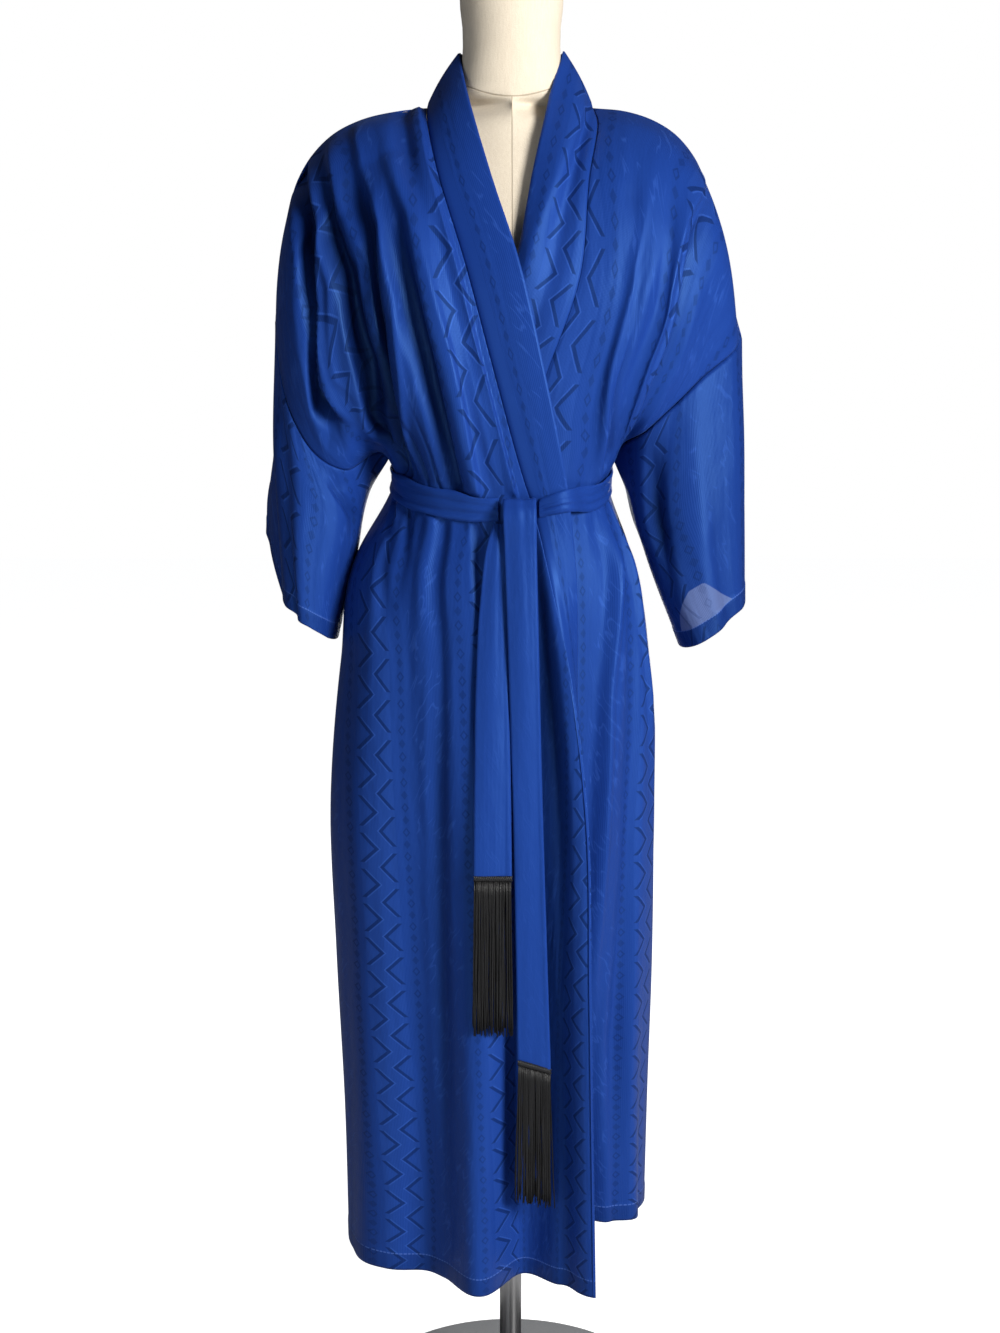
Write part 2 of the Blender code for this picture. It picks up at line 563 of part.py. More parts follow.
def sleeve_grid(name, front, back, back_column, table, folds):
    """Rings of a sleeve from the armhole seam to the cuff. Column 0 is on the shoulder line."""
    seam = [front[r][FRONT_COLUMNS] for r in range(UPPER_ROWS + 1)]
    seam += [back[r][back_column] for r in range(UPPER_ROWS - 1, -1, -1)]
    rings = [seam]
    around = 2 * UPPER_ROWS
    power = 2 / SLEEVE_SQUARE
    for row in table:
        outer, fore, inner, rear = (Vector(point) for point in row[1:])
        centre = (outer + inner) / 2
        ring = []
        for k in range(around + 1):
            angle = 2 * math.pi * k / around
            side = outer if math.cos(angle) > 0 else inner
            face = fore if math.sin(angle) > 0 else rear
            across = (side - centre) * abs(math.cos(angle)) ** power
            ahead = (face - centre) * abs(math.sin(angle)) ** power
            ring.append(centre + across + ahead)
        rings.append(ring)
    grid = rows_through(rings, SLEEVE_SECTION_ROWS)
    facing = grid_normals(grid, SIDES[name], closed=True)
    fold_grid(grid, facing, folds, SLEEVE_FOLD_SHARE, [seam[UPPER_ROWS]])
    for line in grid:
        line[-1] = line[0].copy()
    return grid


def collar_grid(front, back, table, neck_columns):
    """Points of one half of the collar band: the centre back, round the neck, then to the hem.

    Column 0 is on the seam and the last column on the free edge.
    """
    sign = -1 if table[0].seam[0] < 0 else 1
    seam = [back[0][c].copy() for c in neck_columns]
    edge = even_points([Vector((sign * x, y, z)) for x, y, z in BACK_NECK_EDGE], BACK_NECK_COLUMNS)[:-1]
    free = [line[0] for line in rows_through([[Vector(row.free)] for row in table], SECTION_ROWS)]
    seam += [line[0].copy() for line in front]
    edge += free
    grid = []
    for on_seam, on_edge in zip(seam, edge):
        grid.append([on_seam.lerp(on_edge, c / BAND_COLUMNS) for c in range(BAND_COLUMNS + 1)])
    return grid


def ring_points(ring, sides):
    """Points of a level, rounded ring, going round from the front."""
    points = []
    for k in range(sides):
        angle = 2 * math.pi * k / sides
        across, ahead = math.sin(angle), math.cos(angle)
        x = math.copysign(abs(across) ** (2 / ring.square), across) * ring.half_width
        deep = ring.back if ahead < 0 else ring.front
        y = -math.copysign(abs(ahead) ** (2 / ring.square), ahead) * deep
        points.append(Vector((x, y, ring.height)))
    return points


def make_form(material, collection):
    """Torso and neck of the dress form: one closed body lofted through its rings."""
    mesh = bmesh.new()
    loops = []
    for ring in FORM_RINGS:
        loops.append([mesh.verts.new(point) for point in ring_points(ring, FORM_SIDES)])
    for low, high in zip(loops, loops[1:]):
        edges = []
        for loop in (low, high):
            for a, b in zip(loop, loop[1:] + loop[:1]):
                edges.append(mesh.edges.get((a, b)) or mesh.edges.new((a, b)))
        bmesh.ops.bridge_loops(mesh, edges=edges)
    for loop in (loops[0], loops[-1]):
        mesh.faces.new(loop)
    bmesh.ops.recalc_face_normals(mesh, faces=mesh.faces[:])
    return finish_object("dress_form", mesh, material, collection)


def make_turned(name, profile, sides, material, collection):
    """Turned solid from a profile of (radius, height) points, whose ends lie on the axis."""
    mesh = bmesh.new()
    points = [mesh.verts.new((radius, 0.0, height)) for radius, height in profile]
    edges = [mesh.edges.new(pair) for pair in zip(points, points[1:])]
    bmesh.ops.spin(
        mesh, geom=points + edges, axis=(0, 0, 1), cent=(0, 0, 0), angle=2 * math.pi, steps=sides, use_merge=True
    )
    bmesh.ops.remove_doubles(mesh, verts=mesh.verts[:], dist=1e-5)
    bmesh.ops.recalc_face_normals(mesh, faces=mesh.faces[:])
    return finish_object(name, mesh, material, collection)


def make_stand(steel, paint, collection):
    """Round weighted base with a flange, and the pole from it to the underside of the form."""
    top = BASE_THICK + FLANGE_HEIGHT
    base = [
        (0.0, 0.0), (BASE_RADIUS, 0.0), (BASE_RADIUS, BASE_THICK - BASE_EDGE / 2),
        (BASE_RADIUS - BASE_EDGE, BASE_THICK), (FLANGE_RADIUS, BASE_THICK),
        (FLANGE_RADIUS - FLANGE_TAPER, top), (0.0, top),
    ]
    make_turned("stand_base", base, BASE_SIDES, paint, collection)
    low = top + TOUCH_GAP
    high = FORM_RINGS[0].height - TOUCH_GAP
    pole = [(0.0, low), (POLE_RADIUS, low), (POLE_RADIUS, high), (0.0, high)]
    make_turned("stand_pole", pole, POLE_SIDES, steel, collection)


def seam_normals(normals):
    """Share the normals along every seam of the robe."""
    front = {-1: normals["front_right"], 1: normals["front_left"]}
    sleeve = {-1: normals["sleeve_right"], 1: normals["sleeve_left"]}
    collar = {-1: normals["collar_right"], 1: normals["collar_left"]}
    back = normals["back"]
    middle, last = BACK_HALF_COLUMNS, 2 * BACK_HALF_COLUMNS
    lower = range(UPPER_ROWS, len(back))
    for sign in (-1, 1):
        edge = 0 if sign < 0 else last
        share_normals([(front[sign], r, FRONT_COLUMNS) for r in lower], [(back, r, edge) for r in lower])
        share_normals(
            [(front[sign], r, FRONT_COLUMNS) for r in range(1, UPPER_ROWS)],
            [(sleeve[sign], 0, r) for r in range(1, UPPER_ROWS)],
        )
        share_normals(
            [(back, r, edge) for r in range(1, UPPER_ROWS)],
            [(sleeve[sign], 0, 2 * UPPER_ROWS - r) for r in range(1, UPPER_ROWS)],
        )
        share_normals(
            [(collar[sign], BACK_NECK_COLUMNS + r, 0) for r in range(1, len(back))],
            [(front[sign], r, 0) for r in range(1, len(back))],
        )
        share_normals(
            [(collar[sign], k, 0) for k in range(BACK_NECK_COLUMNS)],
            [(back, 0, middle + sign * k) for k in range(BACK_NECK_COLUMNS)],
        )
        for c in range(FRONT_COLUMNS + 1):
            normals_in_shoulder_plane(front[sign], 0, c)
        for c in range(BACK_NECK_COLUMNS, BACK_HALF_COLUMNS + 1):
            normals_in_shoulder_plane(back, 0, middle + sign * c)
        for piece, row, column in (
            (front[sign], UPPER_ROWS, FRONT_COLUMNS), (back, UPPER_ROWS, edge), (sleeve[sign], 0, UPPER_ROWS),
        ):
            piece[row][column] = Vector((0.0, 0.0, -1.0))
        for column in (0, 2 * UPPER_ROWS):
            sleeve[sign][0][column] = front[sign][0][FRONT_COLUMNS].copy()
    rows = range(BAND_COLUMNS + 1)
    share_normals([(collar[-1], 0, c) for c in rows], [(collar[1], 0, c) for c in rows])


def normals_in_shoulder_plane(normals, row, column):
    """Turn a normal into the plane of the shoulder line, so that front and back don't cross it."""
    normal = normals[row][column]
    normals[row][column] = Vector((normal.x, 0.0, normal.z)).normalized()


def at_height(grid, row, column, share):
    """Point of a grid between two rows: share is below 0 towards the row above."""
    other = row + (1 if share > 0 else -1)
    return grid[row][column].lerp(grid[other][column], abs(share))


def waist_line(grids, normals, name, row, columns, height):
    """Points and normals along one piece near the waist, height rows below the waist row."""
    return [
        (at_height(grids[name], row, c, height), at_height(normals[name], row, c, height).normalized())
        for c in columns
    ]


def cut_at(line, x):
    """The point and normal where a line of them crosses that X."""
    for (start, facing), (end, facing_end) in zip(line, line[1:]):
        if (start.x - x) * (end.x - x) <= 0:
            share = (start.x - x) / (start.x - end.x)
            return start.lerp(end, share), facing.lerp(facing_end, share).normalized()
    return line[-1]


def sash_line(grids, normals, height):
    """Points and normals that the sash covers, from the knot's left round the waist to its right.

    Returns them with the index of the first one on the top front's free edge.
    """
    band_row = BACK_NECK_COLUMNS + WAIST_ROW
    band_edge = grids["collar_right"][band_row][BAND_COLUMNS].x
    front = waist_line(grids, normals, "front_right", WAIST_ROW, range(FRONT_COLUMNS), height)
    back = waist_line(grids, normals, "back", WAIST_ROW, range(2 * BACK_HALF_COLUMNS + 1), height)
    under_columns = [
        c for c in range(FRONT_COLUMNS - 1, 0, -1)
        if grids["front_left"][WAIST_ROW][c].x > band_edge + SASH_STEP_CLEAR
    ]
    under = waist_line(grids, normals, "front_left", WAIST_ROW, under_columns, height)
    band = waist_line(grids, normals, "collar_right", band_row, range(BAND_COLUMNS, -1, -1), height)
    before_step = [cut_at(front, SASH_LEFT_END_X)] + front[SASH_START_COLUMN:] + back + under
    after_step = band[:SASH_END_COLUMN] + [cut_at(band, SASH_RIGHT_END_X)]
    return before_step + after_step, len(before_step)


def sash_grids(grids, normals):
    """Outer and inner points of the sash band, made from the cloth it lies on, moved out."""
    outer, inner = [], []
    for height in (-SASH_SHARE, 0.0, SASH_SHARE):
        line, step = sash_line(grids, normals, height)
        line_out = [point + facing * (SASH_LIFT + SASH_WALL) for point, facing in line]
        line_in = [point + facing * SASH_LIFT for point, facing in line]
        edge = line[step][0]
        line_out.insert(step, edge + Vector((SASH_WALL, -SASH_LIFT, 0.0)))
        line_in.insert(step, edge + Vector((SASH_LIFT, 0.0, 0.0)))
        for points in (line_out, line_in):
            points[0].x = SASH_LEFT_END_X
            points[-1].x = SASH_RIGHT_END_X
        outer.append(line_out)
        inner.append(line_in)
    return outer, inner


def make_knot(material, collection):
    """The knot: a rounded pad that the sash's ends run into."""
    mesh = bmesh.new()
    made = bmesh.ops.create_cube(mesh, size=1.0)
    low = Vector((KNOT_LEFT_X, KNOT_FRONT_Y, KNOT_LOW_Z))
    high = Vector((KNOT_RIGHT_X, KNOT_BACK_Y, KNOT_TOP_Z))
    bmesh.ops.scale(mesh, vec=high - low, verts=made["verts"])
    bmesh.ops.translate(mesh, vec=(low + high) / 2, verts=made["verts"])
    bmesh.ops.bevel(
        mesh, geom=mesh.edges[:], offset=KNOT_ROUND, offset_type="OFFSET", affect="EDGES",
        segments=2, profile=0.5, material=-1,
    )
    return finish_object("sash_knot", mesh, material, collection)


def front_most(grid, left_x, right_x, low_z, high_z):
    """Smallest Y of a grid's points in a window, as seen from the front."""
    inside = [
        point.y for line in grid for point in line
        if left_x - TAIL_CLEAR < point.x < right_x + TAIL_CLEAR and low_z < point.z < high_z
    ]
    return min(inside, default=math.inf)


def tail_grid(table, slant, drop, front):
    """Points of one hanging sash tail, clear of the front it hangs over.

    Its lower end slants by slant, and leaves room for a fringe that reaches drop below it.
    """
    sections = []
    last = len(table) - 1
    for i, row in enumerate(table):
        reach = TAIL_REACH + (drop if i == last else 0.0)
        cloth_y = front_most(front, row.left_x, row.right_x, row.height - reach, row.height + TAIL_REACH)
        depth_y = min(row.depth_y, cloth_y - TAIL_CLEAR)
        line = []
        for c in range(TAIL_COLUMNS + 1):
            across = c / TAIL_COLUMNS
            x = row.left_x + (row.right_x - row.left_x) * across
            crown = TAIL_CROWN * math.sin(math.pi * across)
            lower = slant * (across - 0.5) if i == last else 0.0
            line.append(Vector((x, depth_y - crown, row.height - lower)))
        sections.append(line)
    return rows_through(sections, [TAIL_SECTION_ROWS if i else 1 for i in range(last)])


def make_fringe(name, edge, drop, material, collection):
    """Fringe below a tail's lower edge: a heading strip and strands that hang from it."""
    left, right = edge[0], edge[-1]
    mesh = bmesh.new()
    bmesh.ops.create_grid(mesh, x_segments=FRINGE_STRANDS, y_segments=FRINGE_ROWS, size=0.5)
    along = right - left
    for vert in mesh.verts:
        across, deep = vert.co.x + 0.5, vert.co.y
        top = left + along * across
        depth_y = top.y + TAIL_WALL / 2 + deep * FRINGE_THICK
        vert.co = Vector((top.x, depth_y, top.z - FRINGE_GAP - FRINGE_HEADING))
    bottom = mesh.faces[:]
    made = bmesh.ops.extrude_face_region(mesh, geom=bottom, use_keep_orig=True)
    upper = [g for g in made["geom"] if isinstance(g, bmesh.types.BMVert)]
    bmesh.ops.translate(mesh, vec=(0.0, 0.0, FRINGE_HEADING), verts=upper)
    bmesh.ops.inset_individual(mesh, faces=bottom, thickness=FRINGE_STRAND_INSET, depth=0.0)
    centre_x = (left.x + right.x) / 2
    for step in range(FRINGE_STEPS):
        faces = bmesh.ops.extrude_discrete_faces(mesh, faces=bottom)["faces"]
        last = step == FRINGE_STEPS - 1
        for k, face in enumerate(faces):
            middle = face.calc_center_median()
            ragged = FRINGE_RAGGED * math.sin(FRINGE_RAGGED_TURN * k) if last else 0.0
            spread = (middle.x - centre_x) * FRINGE_SPREAD / FRINGE_STEPS
            fall = Vector((spread, 0.0, -drop / FRINGE_STEPS + ragged))
            bmesh.ops.translate(mesh, vec=fall, verts=list(face.verts))
        bottom = faces
    bmesh.ops.recalc_face_normals(mesh, faces=mesh.faces[:])
    return finish_object(name, mesh, material, collection)


def build():
    """Build every piece."""
    clear_scene()
    collection = bpy.data.collections.new(OBJECT_NAME)
    bpy.context.scene.collection.children.link(collection)
    cloth = new_material("robe_cloth", CLOTH_BLUE, 0.45)
    black = new_material("fringe_black", FRINGE_BLACK, 0.55)
    linen = new_material("form_linen", LINEN, 0.85)
    steel = new_material("pole_steel", POLE_STEEL, 0.3, 1.0)
    paint = new_material("base_paint", BASE_PAINT, 0.4)

    right = front_grid("front_right", FRONT_RIGHT, SHOULDER_RIGHT, -1, FOLDS_FRONT_RIGHT)
    left = front_grid("front_left", FRONT_LEFT, SHOULDER_LEFT, 1, FOLDS_FRONT_LEFT)
    back = back_grid()
    meet(right, back, -1, 0, UPPER_ROWS)
    meet(left, back, -1, -1, UPPER_ROWS)
    middle = BACK_HALF_COLUMNS
    grids = {
        "front_right": right,
        "front_left": left,
        "back": back,
        "sleeve_right": sleeve_grid("sleeve_right", right, back, 0, SLEEVE_RIGHT, FOLDS_SLEEVE_RIGHT),
        "sleeve_left": sleeve_grid("sleeve_left", left, back, -1, SLEEVE_LEFT, FOLDS_SLEEVE_LEFT),
        "collar_right": collar_grid(right, back, FRONT_RIGHT, range(middle, middle - BACK_NECK_COLUMNS, -1)),
        "collar_left": collar_grid(left, back, FRONT_LEFT, range(middle, middle + BACK_NECK_COLUMNS)),
    }
    closed = {name: name.startswith("sleeve") for name in grids}
    normals = {name: grid_normals(grid, SIDES[name], closed[name]) for name, grid in grids.items()}
    seam_normals(normals)
    for name, grid in grids.items():
        outer = moved(grid, normals[name], 0.0)
        inner = moved(grid, normals[name], -WALL)
        for points in (outer, inner):
            pull_back(points, *SEAM_EDGES[name])
        wall_object(name, outer, inner, cloth, collection, closed[name])

    wall_object("sash_band", *sash_grids(grids, normals), cloth, collection)
    make_knot(cloth, collection)
    for name, table, slant, drop in (
        ("short", TAIL_SHORT, 0.0, FRINGE_DROP_SHORT), ("long", TAIL_LONG, TAIL_LONG_SLANT, FRINGE_DROP_LONG),
    ):
        grid = tail_grid(table, slant, drop, right[WAIST_ROW + 1:])
        facing = grid_normals(grid, SIDES["tail"])
        wall_object("sash_tail_" + name, grid, moved(grid, facing, -TAIL_WALL), cloth, collection)
        make_fringe("fringe_" + name, grid[-1], drop, black, collection)
    make_form(linen, collection)
    make_stand(steel, paint, collection)


build()
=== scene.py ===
"""Looks of a kimono robe with a tied, fringed sash, worn by a limbless dress form on a pole stand.

The robe's cloth is built from the same section tables as its plain solids, on a finer grid, with
the smaller folds, the seams, the hems and the woven pattern. Everything is in metres, +Z up, with
the origin under the middle of the stand's base.
"""

from __future__ import annotations

import logging
import math
from collections.abc import Iterable, Sequence
from dataclasses import dataclass, field
from enum import Enum

import bmesh
import bpy
import numpy as np
from bmesh.types import BMEdge, BMesh, BMVert
from bpy.types import ID, Material, NodeSocket, NodeTree, Object
from mathutils import Matrix, Vector

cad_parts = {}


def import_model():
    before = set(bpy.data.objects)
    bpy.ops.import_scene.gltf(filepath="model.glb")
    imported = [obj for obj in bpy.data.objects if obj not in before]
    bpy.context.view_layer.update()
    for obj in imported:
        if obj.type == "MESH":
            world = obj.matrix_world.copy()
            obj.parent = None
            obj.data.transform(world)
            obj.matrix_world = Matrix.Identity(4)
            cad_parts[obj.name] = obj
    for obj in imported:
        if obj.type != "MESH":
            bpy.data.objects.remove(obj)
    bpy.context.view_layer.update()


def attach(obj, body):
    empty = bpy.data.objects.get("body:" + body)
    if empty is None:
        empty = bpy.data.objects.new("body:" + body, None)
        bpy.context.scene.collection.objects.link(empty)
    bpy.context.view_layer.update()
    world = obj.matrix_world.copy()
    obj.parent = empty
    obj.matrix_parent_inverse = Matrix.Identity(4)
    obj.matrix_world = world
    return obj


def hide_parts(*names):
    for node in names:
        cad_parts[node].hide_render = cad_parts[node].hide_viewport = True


log = logging.getLogger("robe")

Point = tuple[float, float, float]
Colour = tuple[float, float, float]

# The coarse grid: rows between the sections from the shoulder to the hem, and columns of each piece
SECTION_ROWS = (2, 2, 2, 2, 2, 1, 1, 1, 2, 2, 2, 2, 2)
UPPER_ROWS = 10
WAIST_ROW = 11
FRONT_COLUMNS = 18
BACK_HALF = 14
NECK_COLUMNS = 3
LAST_ROW = sum(SECTION_ROWS)
# Steps of a smooth curve, and how near an underarm the folds die out
SMOOTH_STEPS = 16
CALM_RADIUS = 0.04
CLOTH_WALL = 0.0014
# How deep a fold is where its painted shade is darkest, and how much painted shade the whole left sleeve gets
PAINTED_SHADE_FULL_DEPTH = 0.017
PAINTED_SLEEVE_SHADE = 0.2
CLOTH_MAP = "Cloth"

# Shoulder line, seen from the front: how far out from the middle, and how high
SHOULDER_RIGHT = (
    (0.0905, 1.4575), (0.12, 1.4545), (0.164, 1.444), (0.188, 1.432), (0.215, 1.406),
    (0.23, 1.38), (0.24, 1.345), (0.248, 1.295), (0.2546, 1.2374),
)
SHOULDER_LEFT = (
    (0.087, 1.4575), (0.12, 1.4545), (0.154, 1.4435), (0.174, 1.431), (0.1955, 1.406),
    (0.208, 1.378), (0.217, 1.345), (0.231, 1.28), (0.2488, 1.2194),
)


@dataclass(frozen=True)
class FrontSection:
    """One section of a front: three points, how square it turns and how far its middle is pushed."""

    name: str
    seam: Point
    outer: Point
    free: Point
    square: float
    forward: float


@dataclass(frozen=True)
class BackSection:
    """One section of the back: its centre, its armhole points on both sides and how square it is."""

    name: str
    centre_y: float
    centre_z: float
    outer_y: float
    right: tuple[float, float] | None
    left: tuple[float, float] | None
    square: float


FRONT_RIGHT = tuple(FrontSection(*row) for row in (
    ("shoulder", (-0.0905, -0.001, 1.4575), (-0.2546, 0.0, 1.2374), (-0.057, 0.0, 1.5125), 2.6, 0.0),
    ("yoke", (-0.088, -0.042, 1.434), (-0.25, -0.03, 1.205), (-0.0465, -0.056, 1.462), 2.5, 0.014),
    ("chest", (-0.0745, -0.092, 1.374), (-0.238, -0.052, 1.148), (-0.022, -0.106, 1.376), 2.4, 0.014),
    ("bust", (-0.048, -0.124, 1.288), (-0.212, -0.06, 1.098), (0.006, -0.137, 1.289), 2.3, 0.01),
    ("blouse", (-0.019, -0.13, 1.18), (-0.176, -0.056, 1.076), (0.031, -0.14, 1.183), 2.3, 0.006),
    ("underarm", (0.014, -0.1215, 1.062), (-0.132, -0.002, 1.088), (0.054, -0.128, 1.072), 2.3, 0.0),
    ("waist", (0.022, -0.118, 1.038), (-0.1245, 0.0, 1.068), (0.058, -0.1225, 1.05), 2.3, 0.0),
    ("below sash", (0.028, -0.1205, 1.015), (-0.133, 0.0, 1.048), (0.061, -0.12, 1.025), 2.3, 0.0),
    ("high hip", (0.04, -0.13, 0.965), (-0.17, 0.0, 0.982), (0.0672, -0.117, 0.97), 2.3, 0.0),
    ("hip", (0.062, -0.142, 0.862), (-0.187, 0.0, 0.87), (0.069, -0.115, 0.862), 2.4, 0.0),
    ("thigh", (0.079, -0.15, 0.72), (-0.2, 0.0, 0.72), (0.07, -0.113, 0.72), 2.4, 0.0),
    ("knee", (0.0835, -0.152, 0.54), (-0.196, 0.0, 0.54), (0.074, -0.108, 0.54), 2.3, 0.0),
    ("calf", (0.087, -0.15, 0.36), (-0.188, 0.0, 0.36), (0.079, -0.103, 0.36), 2.5, 0.0),
    ("hem", (0.09, -0.148, 0.206), (-0.185, 0.0, 0.212), (0.082, -0.098, 0.208), 2.7, 0.0),
))
FRONT_LEFT = tuple(FrontSection(*row) for row in (
    ("shoulder", (0.087, -0.001, 1.4575), (0.2488, 0.0, 1.2194), (0.056, 0.0, 1.515), 2.1, 0.0),
    ("yoke", (0.09, -0.042, 1.434), (0.238, -0.028, 1.202), (0.045, -0.056, 1.466), 2.2, 0.012),
    ("chest", (0.079, -0.092, 1.374), (0.205, -0.05, 1.176), (0.024, -0.102, 1.386), 2.3, 0.01),
    ("bust", (0.07, -0.118, 1.278), (0.178, -0.056, 1.15), (0.006, -0.122, 1.3), 2.3, 0.006),
    ("blouse", (0.034, -0.118, 1.172), (0.144, -0.05, 1.118), (-0.026, -0.118, 1.2), 2.3, 0.004),
    ("underarm", (0.002, -0.111, 1.068), (0.11, -0.002, 1.088), (-0.05, -0.104, 1.08), 2.4, 0.0),
    ("waist", (0.0, -0.108, 1.04), (0.1035, 0.0, 1.068), (-0.052, -0.102, 1.05), 2.4, 0.0),
    ("below sash", (-0.003, -0.108, 1.015), (0.108, 0.0, 1.048), (-0.054, -0.101, 1.025), 2.4, 0.0),
    ("high hip", (-0.008, -0.109, 0.97), (0.131, 0.0, 0.982), (-0.06, -0.1, 0.97), 2.6, 0.0),
    ("hip", (-0.01, -0.112, 0.862), (0.149, 0.002, 0.87), (-0.062, -0.102, 0.862), 2.6, 0.0),
    ("thigh", (-0.008, -0.112, 0.72), (0.158, 0.006, 0.72), (-0.062, -0.102, 0.72), 2.4, 0.0),
    ("knee", (-0.004, -0.106, 0.54), (0.16, 0.012, 0.54), (-0.06, -0.096, 0.54), 2.2, 0.0),
    ("calf", (0.0, -0.098, 0.37), (0.157, 0.02, 0.368), (-0.056, -0.088, 0.37), 2.0, 0.0),
    ("hem", (0.002, -0.09, 0.24), (0.155, 0.024, 0.236), (-0.054, -0.08, 0.24), 2.0, 0.0),
))
BACK = tuple(BackSection(*row) for row in (
    ("yoke", 0.098, 1.43, 0.03, (0.25, 1.205), (0.238, 1.202), 2.4),
    ("blade", 0.12, 1.36, 0.054, (0.238, 1.148), (0.205, 1.176), 2.4),
    ("rib", 0.122, 1.27, 0.062, (0.212, 1.1), (0.178, 1.15), 2.4),
    ("blouse", 0.118, 1.17, 0.056, (0.176, 1.08), (0.144, 1.118), 2.4),
    ("underarm", 0.106, 1.095, 0.0, None, None, 2.4),
    ("waist", 0.102, 1.075, 0.0, None, None, 2.4),
    ("below sash", 0.106, 1.055, 0.0, None, None, 2.4),
    ("high hip", 0.122, 0.99, 0.0, None, None, 2.4),
    ("hip", 0.142, 0.87, 0.0, None, None, 2.3),
    ("thigh", 0.15, 0.72, 0.0, None, None, 2.2),
    ("knee", 0.152, 0.54, 0.0, None, None, 2.1),
    ("calf", 0.156, 0.364, 0.0, None, None, 2.1),
    ("hem", 0.16, 0.224, 0.0, None, None, 2.1),
))
BACK_NECK_SEAM = ((0.0, 0.074, 1.456), (0.048, 0.065, 1.4565), (0.079, 0.036, 1.4572))
BACK_NECK_EDGE = (
    (0.0, 0.064, 1.52), (0.033, 0.056, 1.519), (0.052, 0.03, 1.516), (0.0565, 0.0, 1.5135),
)

# Sleeve rings below the armhole seam: outer, front, inner and back point
SLEEVE_SECTION_ROWS = (2, 3, 3)
SLEEVE_SQUARE = 2.3
SLEEVE_RIGHT = (
    ((-0.255, 0.006, 1.15), (-0.214, -0.062, 1.058), (-0.154, 0.006, 1.052), (-0.22, 0.069, 1.064)),
    ((-0.2545, 0.008, 1.058), (-0.215, -0.067, 0.985), (-0.17, 0.024, 0.982), (-0.245, 0.072, 1.03)),
    ((-0.249, -0.01, 0.936), (-0.215, -0.068, 0.908), (-0.193, 0.032, 0.89), (-0.258, 0.072, 1.005)),
)
SLEEVE_LEFT = (
    ((0.2515, 0.002, 1.135), (0.19, -0.064, 1.06), (0.126, -0.001, 1.05), (0.19, 0.068, 1.07)),
    ((0.2545, 0.0, 1.035), (0.196, -0.068, 0.98), (0.145, 0.0, 0.99), (0.198, 0.072, 1.01)),
    ((0.256, -0.004, 0.935), (0.216, -0.068, 0.9), (0.183, -0.01, 0.887), (0.22, 0.072, 0.955)),
)


class FoldShape(Enum):
    """How a fold's height falls off from its line."""

    SOFT = "soft"
    CREST = "crest"
    CREASE = "crease"


@dataclass(frozen=True)
class Fold:
    """A fold that runs down a piece of cloth.

    path holds its row, column and height in millimetres, outwards, at places from its top to its
    end. before and after are its half widths in columns on its two sides.
    """

    path: tuple[tuple[float, float, float], ...]
    before: float
    after: float
    shape: FoldShape = FoldShape.SOFT
    fade: float = 2.0

    def height(self, rows: np.ndarray, columns: np.ndarray) -> np.ndarray:
        """Height of the fold over a grid.

        Args:
            rows: the row of each line of the grid.
            columns: the column of each point of a line.

        Returns:
            Heights in metres, one for each point.
        """
        row, column, deep = (np.array(part) for part in zip(*self.path))
        centre = np.interp(rows, row, column)[:, None]
        tall = np.interp(rows, row, deep)
        outside = np.maximum(np.maximum(row[0] - rows, rows - row[-1]), 0.0)
        tall = tall * np.clip(1 - outside / self.fade, 0, 1) / 1000
        away = columns[None, :] - centre
        share = np.clip(np.where(away < 0, -away / self.before, away / self.after), 0, 1)
        soft = 0.5 * (1 + np.cos(np.pi * share))
        if self.shape is FoldShape.CREST:
            soft = 0.45 * soft + 0.55 * (1 - share) ** 2
        elif self.shape is FoldShape.CREASE:
            soft = (1 - share) ** 2.6
        return soft * tall[:, None]


def plain(top: float, low: float, top_column: float, low_column: float, half: float, *deep: float) -> Fold:
    """A soft, straight fold between two rows, as deep in metres at its top and its end as given."""
    return Fold(((top, top_column, deep[0] * 1000), (low, low_column, deep[1] * 1000)), half, half)


def hanging(top: float, low: float, *rows: tuple[float, float, float, float]) -> tuple[Fold, ...]:
    """Plain folds straight down: the column, the half width and the two depths of each."""
    return tuple(plain(top, low, column, column, half, *deep) for column, half, *deep in rows)


# The large folds, which the plain solids have too
SHARE_BY_ROW = (0.0, 0.2, 0.6, 1.0, 1.0, 1.0, 1.0, 1.0, 1.0, 0.9, 0.5, 0.3, 0.5, 1.0)
FOLDS_FRONT_RIGHT = (
    plain(5, 10, 2.2, 4.6, 1.7, 0.008, 0.008),
    plain(7, 10, 2.0, 1.9, 1.2, 0.003, 0.004),
    plain(3, 9, 4.0, 12.0, 2.3, -0.006, -0.009),
    plain(4, 9, 7.5, 15.0, 2.2, -0.005, -0.008),
    plain(3, 7, 8.5, 15.5, 1.8, -0.004, -0.006),
    plain(15, 23, 0.0, 0.0, 2.0, 0.004, 0.022),
    plain(13, 23, 3.2, 3.9, 2.0, -0.004, -0.03),
    plain(15, 23, 6.0, 6.2, 2.1, 0.0, 0.03),
    plain(14, 23, 9.4, 9.6, 2.2, -0.004, -0.016),
    plain(14, 23, 12.6, 13.2, 2.0, 0.003, 0.006),
)
FOLDS_FRONT_LEFT = (
    plain(6, 10, 6.0, 9.6, 1.9, 0.006, 0.008),
    plain(4, 9, 8.0, 14.0, 1.8, 0.005, 0.008),
    plain(4, 9, 10.4, 16.2, 1.8, -0.004, -0.008),
    plain(13, 19, 11.2, 7.5, 1.7, 0.008, 0.006),
    plain(13, 20, 13.2, 10.2, 1.7, -0.007, -0.01),
    plain(13, 16, 15.0, 15.6, 1.3, 0.003, 0.005),
    plain(18, 23, 7.0, 7.4, 2.4, -0.004, -0.022),
    plain(18, 23, 12.0, 12.2, 2.2, 0.0, 0.012),
)
